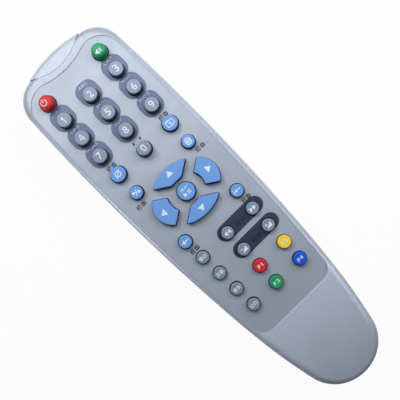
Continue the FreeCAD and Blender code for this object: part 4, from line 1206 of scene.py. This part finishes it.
@dataclass
class KeyLegends:
    """The printed signs on the key tops, each drawn about the origin and then moved onto its key."""

    digit_height: float = 3.3
    digit_width: float = 2.15
    digit_bold: float = 0.014
    digit_stroke: float = 0.46
    four_stroke_share: float = 0.85
    colour_key_height: float = 1.7
    colour_key_width: float = 2.9
    first_width_share: float = 0.85
    colour_key_shift: float = -0.1
    colour_key_bold: float = 0.012
    arrow: Point = (2.6, 3.3)
    seek_arrow: Point = (1.6, 2.3)
    small_width: float = 1.5
    small_height: float = 1.4
    small_post: float = 1.9
    small_shift: float = 0.95
    line: float = 0.3
    post: float = 0.35
    layer: InkLayer = InkLayer()

    def __post_init__(self) -> None:
        """Mix the white ink."""
        self.ink = Ink("legend ink", shade(221, 240, 255), roughness=0.4).make()

    def build(self) -> None:
        """Print every key."""
        signs = self.signs()
        for digit in "0123456789":
            node = f"key_{digit}"
            if node in signs:
                sheets = [filled(region) for region in signs.pop(node)]
            else:
                sheets = [lettering(digit, 0.0, 0.0, self.digit_height, self.digit_width, self.digit_bold)]
            self.put(node, sheets)
        for number in range(1, 5):
            width = self.colour_key_width * (self.first_width_share if number == 1 else 1.0)
            letters = lettering(f"F{number}", 0.0, self.colour_key_shift, self.colour_key_height, width,
                                self.colour_key_bold)
            self.put(f"key_f{number}", [letters])
        for node, regions in signs.items():
            self.put(node, [filled(region) for region in regions])

    def put(self, node: str, sheets: list[Sheet]) -> None:
        """Lay a sign, drawn about the origin, on a key.

        Args:
            node: the key.
            sheets: flat sheets about the origin.
        """
        spot = Spot.of(node)
        for sheet in sheets:
            bmesh.ops.translate(sheet, verts=sheet.verts[:], vec=(spot.x, spot.y, 0.0))
        finish_piece(self.layer.lay(sheets, Surface(node), f"legend_{node}"), self.ink, node)

    def signs(self) -> dict[str, list[Region]]:
        """Draw the signs of all the keys that aren't set in letters.

        Returns:
            The regions of each key's sign.
        """
        half, wide = self.digit_height / 2, self.digit_width / 2
        stem, slim = self.digit_stroke / 2, self.digit_stroke * self.four_stroke_share
        rise = [[(-1.5, -1.15), (1.5, -1.15), (1.5, 1.0)]]
        upright = slab(0.42, 1.9)
        return {
            # An upright stroke with a short flag at its head
            "key_1": [[[(stem - 0.05, -half), (stem - 0.05, half), (-stem, half), (-0.85, half - 0.75),
                        (-0.85, half - 1.3), (-stem - 0.05, half - 0.85), (-stem - 0.05, -half)]]],
            # A slope, a foot and an upright stroke
            "key_4": [[bar(-wide, -0.45, 0.25, half, slim)], [bar(-wide, -0.45, wide, -0.45, slim)],
                      [bar(0.42, -half, 0.42, half * 0.7, slim)]],
            # A ring open at the top, with a bar in the gap
            "key_power": [[moved(open_ring(1.3, 0.27, 118.0, 422.0), -0.8, 0.15)],
                          [moved(slab(0.27, 1.6), -0.8, 1.1)]],
            # A loudspeaker with a cross
            "key_mute": [[[(-1.9, -0.95), (-1.35, -0.95), (-0.45, -1.75), (-0.45, 0.75), (-1.35, -0.05),
                           (-1.9, -0.05)]],
                         [bar(-0.1, -1.4, 1.1, 0.4, 0.3)], [bar(-0.1, 0.4, 1.1, -1.4, 0.3)]],
            # A ring with a slash
            "key_audio": [[disc(1.45), disc(1.05)], [bar(-1.5, -1.3, 1.5, 1.3, 0.38)]],
            # A folder with a star in it
            "key_favourite": [[[(-1.95, -1.5), (1.95, -1.5), (1.95, 1.15), (0.1, 1.15), (-0.25, 1.5),
                                (-1.95, 1.5)],
                               [(-1.6, -1.15), (1.6, -1.15), (1.6, 0.8), (-1.6, 0.8)]],
                              [moved(star(0.85, 0.36), 0.0, -0.2)]],
            # Two dots joined by a bar, with a slash
            "key_switch": [[moved(disc(0.62, 20), -1.15, 0.45)], [moved(disc(0.62, 20), 1.15, -0.45)],
                           [bar(-1.1, 0.45, 1.1, -0.45, 0.3)], [bar(-0.75, -1.35, 0.75, 1.35, 0.32)]],
            # A page with upright lines
            "key_menu": [[slab(2.7, 3.3, 0.9), slab(2.0, 2.5, 0.5)]]
                        + [[moved(upright, x, 0.0)] for x in (-0.7, 0.0, 0.7)],
            # A start and pause sign under two short marks
            "key_ok": [[moved(wedge(1.7, 2.0), -1.15, -0.9)], [moved(upright, 0.45, -0.9)],
                       [moved(upright, 1.3, -0.9)], [moved(slab(1.5, 0.3), -1.0, 1.75)],
                       [moved(slab(1.5, 0.3), -1.0, 1.1)], [moved(slab(0.3, 1.3), 0.55, 1.4)],
                       [moved(slab(1.1, 0.3), 1.35, 1.6)]],
            # Four large arrows
            "key_up": [[moved(wedge(*self.arrow, 90.0), 0.0, 1.2)]],
            "key_down": [[moved(wedge(*self.arrow, -90.0), -0.2, -0.5)]],
            "key_left": [[moved(wedge(*self.arrow, 180.0), -1.2, -0.1)]],
            "key_right": [[moved(wedge(*self.arrow), 1.2, 0.4)]],
            # An arrow with a shaft, and one against a bar
            "key_back": [[moved(wedge(1.5, 2.1, 180.0), -1.0, 0.0)], [bar(-0.3, 0.0, 1.75, 0.0, 0.5)]],
            "key_exit": [[moved(slab(0.34, 2.2), -1.65, 0.0)], [moved(wedge(1.1, 1.7, 180.0), -0.75, 0.0)],
                         [bar(-0.3, 0.0, 1.8, 0.0, 0.36)]],
            # Two wedges each
            "key_rewind": [[moved(wedge(*self.seek_arrow, 180.0), x, 0.0)] for x in (-0.95, 0.75)],
            "key_forward": [[moved(wedge(*self.seek_arrow), x, 0.0)] for x in (-0.75, 0.95)],
            # A rising wedge with a minus, and one with a plus
            "key_volume_down": [rise, [moved(slab(1.2, 0.32), -0.9, 0.55)]],
            "key_volume_up": [rise, [moved(slab(1.3, 0.32), -0.85, 0.55)],
                              [moved(slab(0.32, 1.3), -0.85, 0.55)]],
            # Small frames and lines, in pairs
            "key_guide": self.framed(-self.small_shift, self.post) + self.framed(self.small_shift),
            "key_info": self.lined(-self.small_shift) + self.framed(self.small_shift, self.post),
            "key_list": self.framed(-self.small_shift, self.post) + self.lined(self.small_shift),
            "key_help": self.framed(-self.small_shift) + self.framed(self.small_shift),
        }

    def framed(self, x: float, post: float = 0.0) -> list[Region]:
        """A small frame, with an upright in it if one is asked for.

        Args:
            x: middle of the frame, to the right.
            post: width of the upright, or 0 for none.

        Returns:
            The frame's regions.
        """
        width, height, line = self.small_width, self.small_height, self.line
        rim = [moved(slab(width, height), x, 0.0), moved(slab(width - 2 * line, height - 2 * line), x, 0.0)]
        return [rim] + ([[moved(slab(post, self.small_post), x, 0.0)]] if post else [])

    def lined(self, x: float) -> list[Region]:
        """Three short lines, one under the other."""
        return [[moved(slab(self.small_width, self.line), x, y)] for y in (0.6, 0.0, -0.6)]


@dataclass
class Finishing:
    """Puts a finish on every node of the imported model, slot by slot.

    The bare ends of a cell's sleeve are in metres, and its band in shares of the cell's length.
    """

    sleeve_foot: float = 0.0007
    sleeve_head: float = 0.0012
    band_start: float = 0.12
    turned_band_start: float = 0.72
    band_length: float = 0.16

    def dress(self, material: Material, *nodes: str) -> None:
        """Put one material on nodes.

        Args:
            material: the finish.
            nodes: names of the nodes.
        """
        for node in nodes:
            for slot in frame["nodes"][node].material_slots:
                slot.material = material
            LOG.info("finished %s with %s", node, material.name)

    def slot_nodes(self, slot: str) -> list[str]:
        """Names of the nodes that take a slot's finish."""
        return [part["node"] for part in frame["record"]["subparts"] if part["material_slot"] == slot]

    def build(self) -> None:
        """Dress the whole model."""
        finishes = {
            "silver_casing": CasingPaint(),
            "pale_window": WindowPane(),
            "mat_rubber": MatRubber(),
            "board_laminate": BoardLaminate(),
            "pad_metal": Metal("pad metal", shade(196, 168, 108), roughness=0.35),
            "clear_resin": Moulding("clear resin", shade(214, 222, 236), roughness=0.08, clearness=0.8),
            "black_resin": Moulding("black resin", shade(34, 35, 38), roughness=0.5),
            "ceramic": Moulding("ceramic", shade(186, 150, 96), roughness=0.45),
            "can_metal": Metal("can metal", shade(196, 198, 202), roughness=0.25,
                               lines=(6000.0, 6000.0, 200.0)),
            "screw_steel": Metal("screw steel", shade(184, 186, 190), roughness=0.3),
            "plated_contact": Metal("plated contact", shade(206, 206, 204), roughness=0.2),
            "red_key": KeyPlastic("red key", shade(208, 32, 46)),
            "green_key": KeyPlastic("green key", shade(18, 152, 94)),
            "yellow_key": KeyPlastic("yellow key", shade(255, 208, 50)),
            "navy_key": KeyPlastic("navy key", shade(0, 82, 214)),
            # The blue and grey skirts are painted almost black as shade
            "blue_key": KeyPlastic("blue key", shade(106, 157, 228), coat=0.05, roughness=0.42,
                                   spread=(0.06, 1.10), skirt_shade_span=(0.40, 0.88)),
            "grey_key": KeyPlastic("grey key", shade(138, 150, 174), metallic=0.20, coat=0.10, roughness=0.34,
                                   spread=(0.10, 1.10), skirt_shade_span=(0.35, 0.85)),
        }
        for slot, finish in finishes.items():
            self.dress(finish.make(), *self.slot_nodes(slot))
        # The lower casing keeps the painted light and shade along its length, without the palm's painted
        # light or the lip's painted highlight
        lower_paint = CasingPaint("lower casing paint", palm_painted_light=0.0, lip_painted_highlight=0.0)
        self.dress(lower_paint.make(), "bottom_shell", "battery_door")
        for node in self.slot_nodes("cell_jacket"):
            low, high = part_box(node)
            length = high[1] - low[1]
            start = low[1] + length * (self.turned_band_start if node == "battery_right" else self.band_start)
            sleeve = CellSleeve(f"sleeve of {node}", sleeve_start_y=low[1] + self.sleeve_foot,
                                sleeve_end_y=high[1] - self.sleeve_head, band_start_y=start,
                                band_end_y=start + self.band_length * length)
            self.dress(sleeve.make(), node)


@dataclass(frozen=True)
class Lamp:
    """A square soft lamp that faces the object. Its place and side are in metres, its power in watts."""

    name: str
    place: Place
    side: float
    power: float

    def hang(self) -> None:
        """Put the lamp in the scene."""
        data = bpy.data.lights.new(self.name, "AREA")
        data.size = self.side
        data.energy = self.power
        lamp = placed(self.name, data)
        lamp.location = self.place
        lamp.rotation_euler = (-Vector(self.place)).to_track_quat("-Z", "Y").to_euler()


@dataclass
class Studio:
    """The camera, the lamps, the table and the air round it.

    Places and sizes are in metres, the lens and its sensor in millimetres and the turn in degrees.
    """

    eye: Place = (0.0006, -0.00522, 0.260)
    turn: float = -44.786
    lens: float = 50.22
    sensor: float = 36.0
    shift: Point = (-0.0437, 0.0513)
    nearest: float = 0.01
    lamps: tuple[Lamp, ...] = (
        Lamp("nose lamp", (-0.02, 0.35, 0.35), 0.25, 1.29),
        Lamp("right lamp", (0.15, 0.10, 0.25), 0.25, 0.33),
        Lamp("far right lamp", (0.35, 0.0, 0.25), 0.25, 0.28),
        Lamp("tail lamp", (0.25, -0.15, 0.20), 0.25, 0.25),
        Lamp("low right lamp", (0.35, 0.05, 0.05), 0.12, 0.07),
        Lamp("low left lamp", (-0.35, 0.05, 0.06), 0.12, 0.35),
    )
    air: float = 0.015
    table_side: float = 2.4
    table_tones: Span = (0.78, 0.82)
    table_cloud_scale: float = 30.0
    table_roughness: float = 0.6
    table_glow: float = 0.95

    def build(self) -> None:
        """Set up everything round the object."""
        self.set_camera()
        for lamp in self.lamps:
            lamp.hang()
        self.set_air()
        self.set_table()

    def set_camera(self) -> None:
        """A camera that looks straight down, turned as the photograph is."""
        data = bpy.data.cameras.new("camera")
        data.lens = self.lens
        data.sensor_width = self.sensor
        data.shift_x, data.shift_y = self.shift
        data.clip_start = self.nearest
        camera = placed("camera", data)
        camera.location = self.eye
        camera.rotation_euler = (0.0, 0.0, math.radians(self.turn))
        bpy.context.scene.camera = camera

    def set_air(self) -> None:
        """Faint light from all round, and white where the camera sees past the table."""
        world = bpy.data.worlds.new("air")
        world.use_nodes = True
        nodes, links = world.node_tree.nodes, world.node_tree.links
        background = nodes["Background"]
        background.inputs["Color"].default_value = (*WHITE, 1.0)
        rays = nodes.new("ShaderNodeLightPath")
        level = nodes.new("ShaderNodeMapRange")
        level.inputs["To Min"].default_value = self.air
        level.inputs["To Max"].default_value = 1.0
        links.new(rays.outputs["Is Camera Ray"], level.inputs["Value"])
        links.new(level.outputs["Result"], background.inputs["Strength"])
        bpy.context.scene.world = world

    def set_table(self) -> None:
        """A wide pale table, white to the camera, that keeps a faint shadow of the object."""
        sheet = bmesh.new()
        sheet.faces.new([sheet.verts.new((x, y, 0.0)) for x, y in slab(self.table_side, self.table_side)])
        mesh = bpy.data.meshes.new("table")
        sheet.to_mesh(mesh)
        sheet.free()
        tree = ShaderTree("table top")
        tree.use("Base Color", tree.shades(tree.noise(self.table_cloud_scale), WHITE, *self.table_tones))
        tree.set(Roughness=self.table_roughness)
        glow = tree.nodes.new("ShaderNodeEmission")
        glow.inputs["Strength"].default_value = 1.0
        blend = tree.nodes.new("ShaderNodeMixShader")
        rays = tree.nodes.new("ShaderNodeLightPath")
        seen = tree.remap(rays.outputs["Is Camera Ray"], 0.0, 1.0, 0.0, self.table_glow)
        for source, socket in zip((seen, tree.shader.outputs[0], glow.outputs[0]), blend.inputs):
            tree.links.new(source, socket)
        tree.links.new(blend.outputs[0], tree.nodes["Material Output"].inputs["Surface"])
        mesh.materials.append(tree.material)
        placed("table", mesh)


def main() -> None:
    """Light the model, dress it and print it, in that order."""
    logging.basicConfig(level=logging.INFO, format="%(name)s: %(message)s")
    bpy.context.scene.view_settings.view_transform = "Standard"
    Studio().build()
    Finishing().build()
    PanelPrints().build()
    KeyLegends().build()


if __name__ == "__main__":
    main()
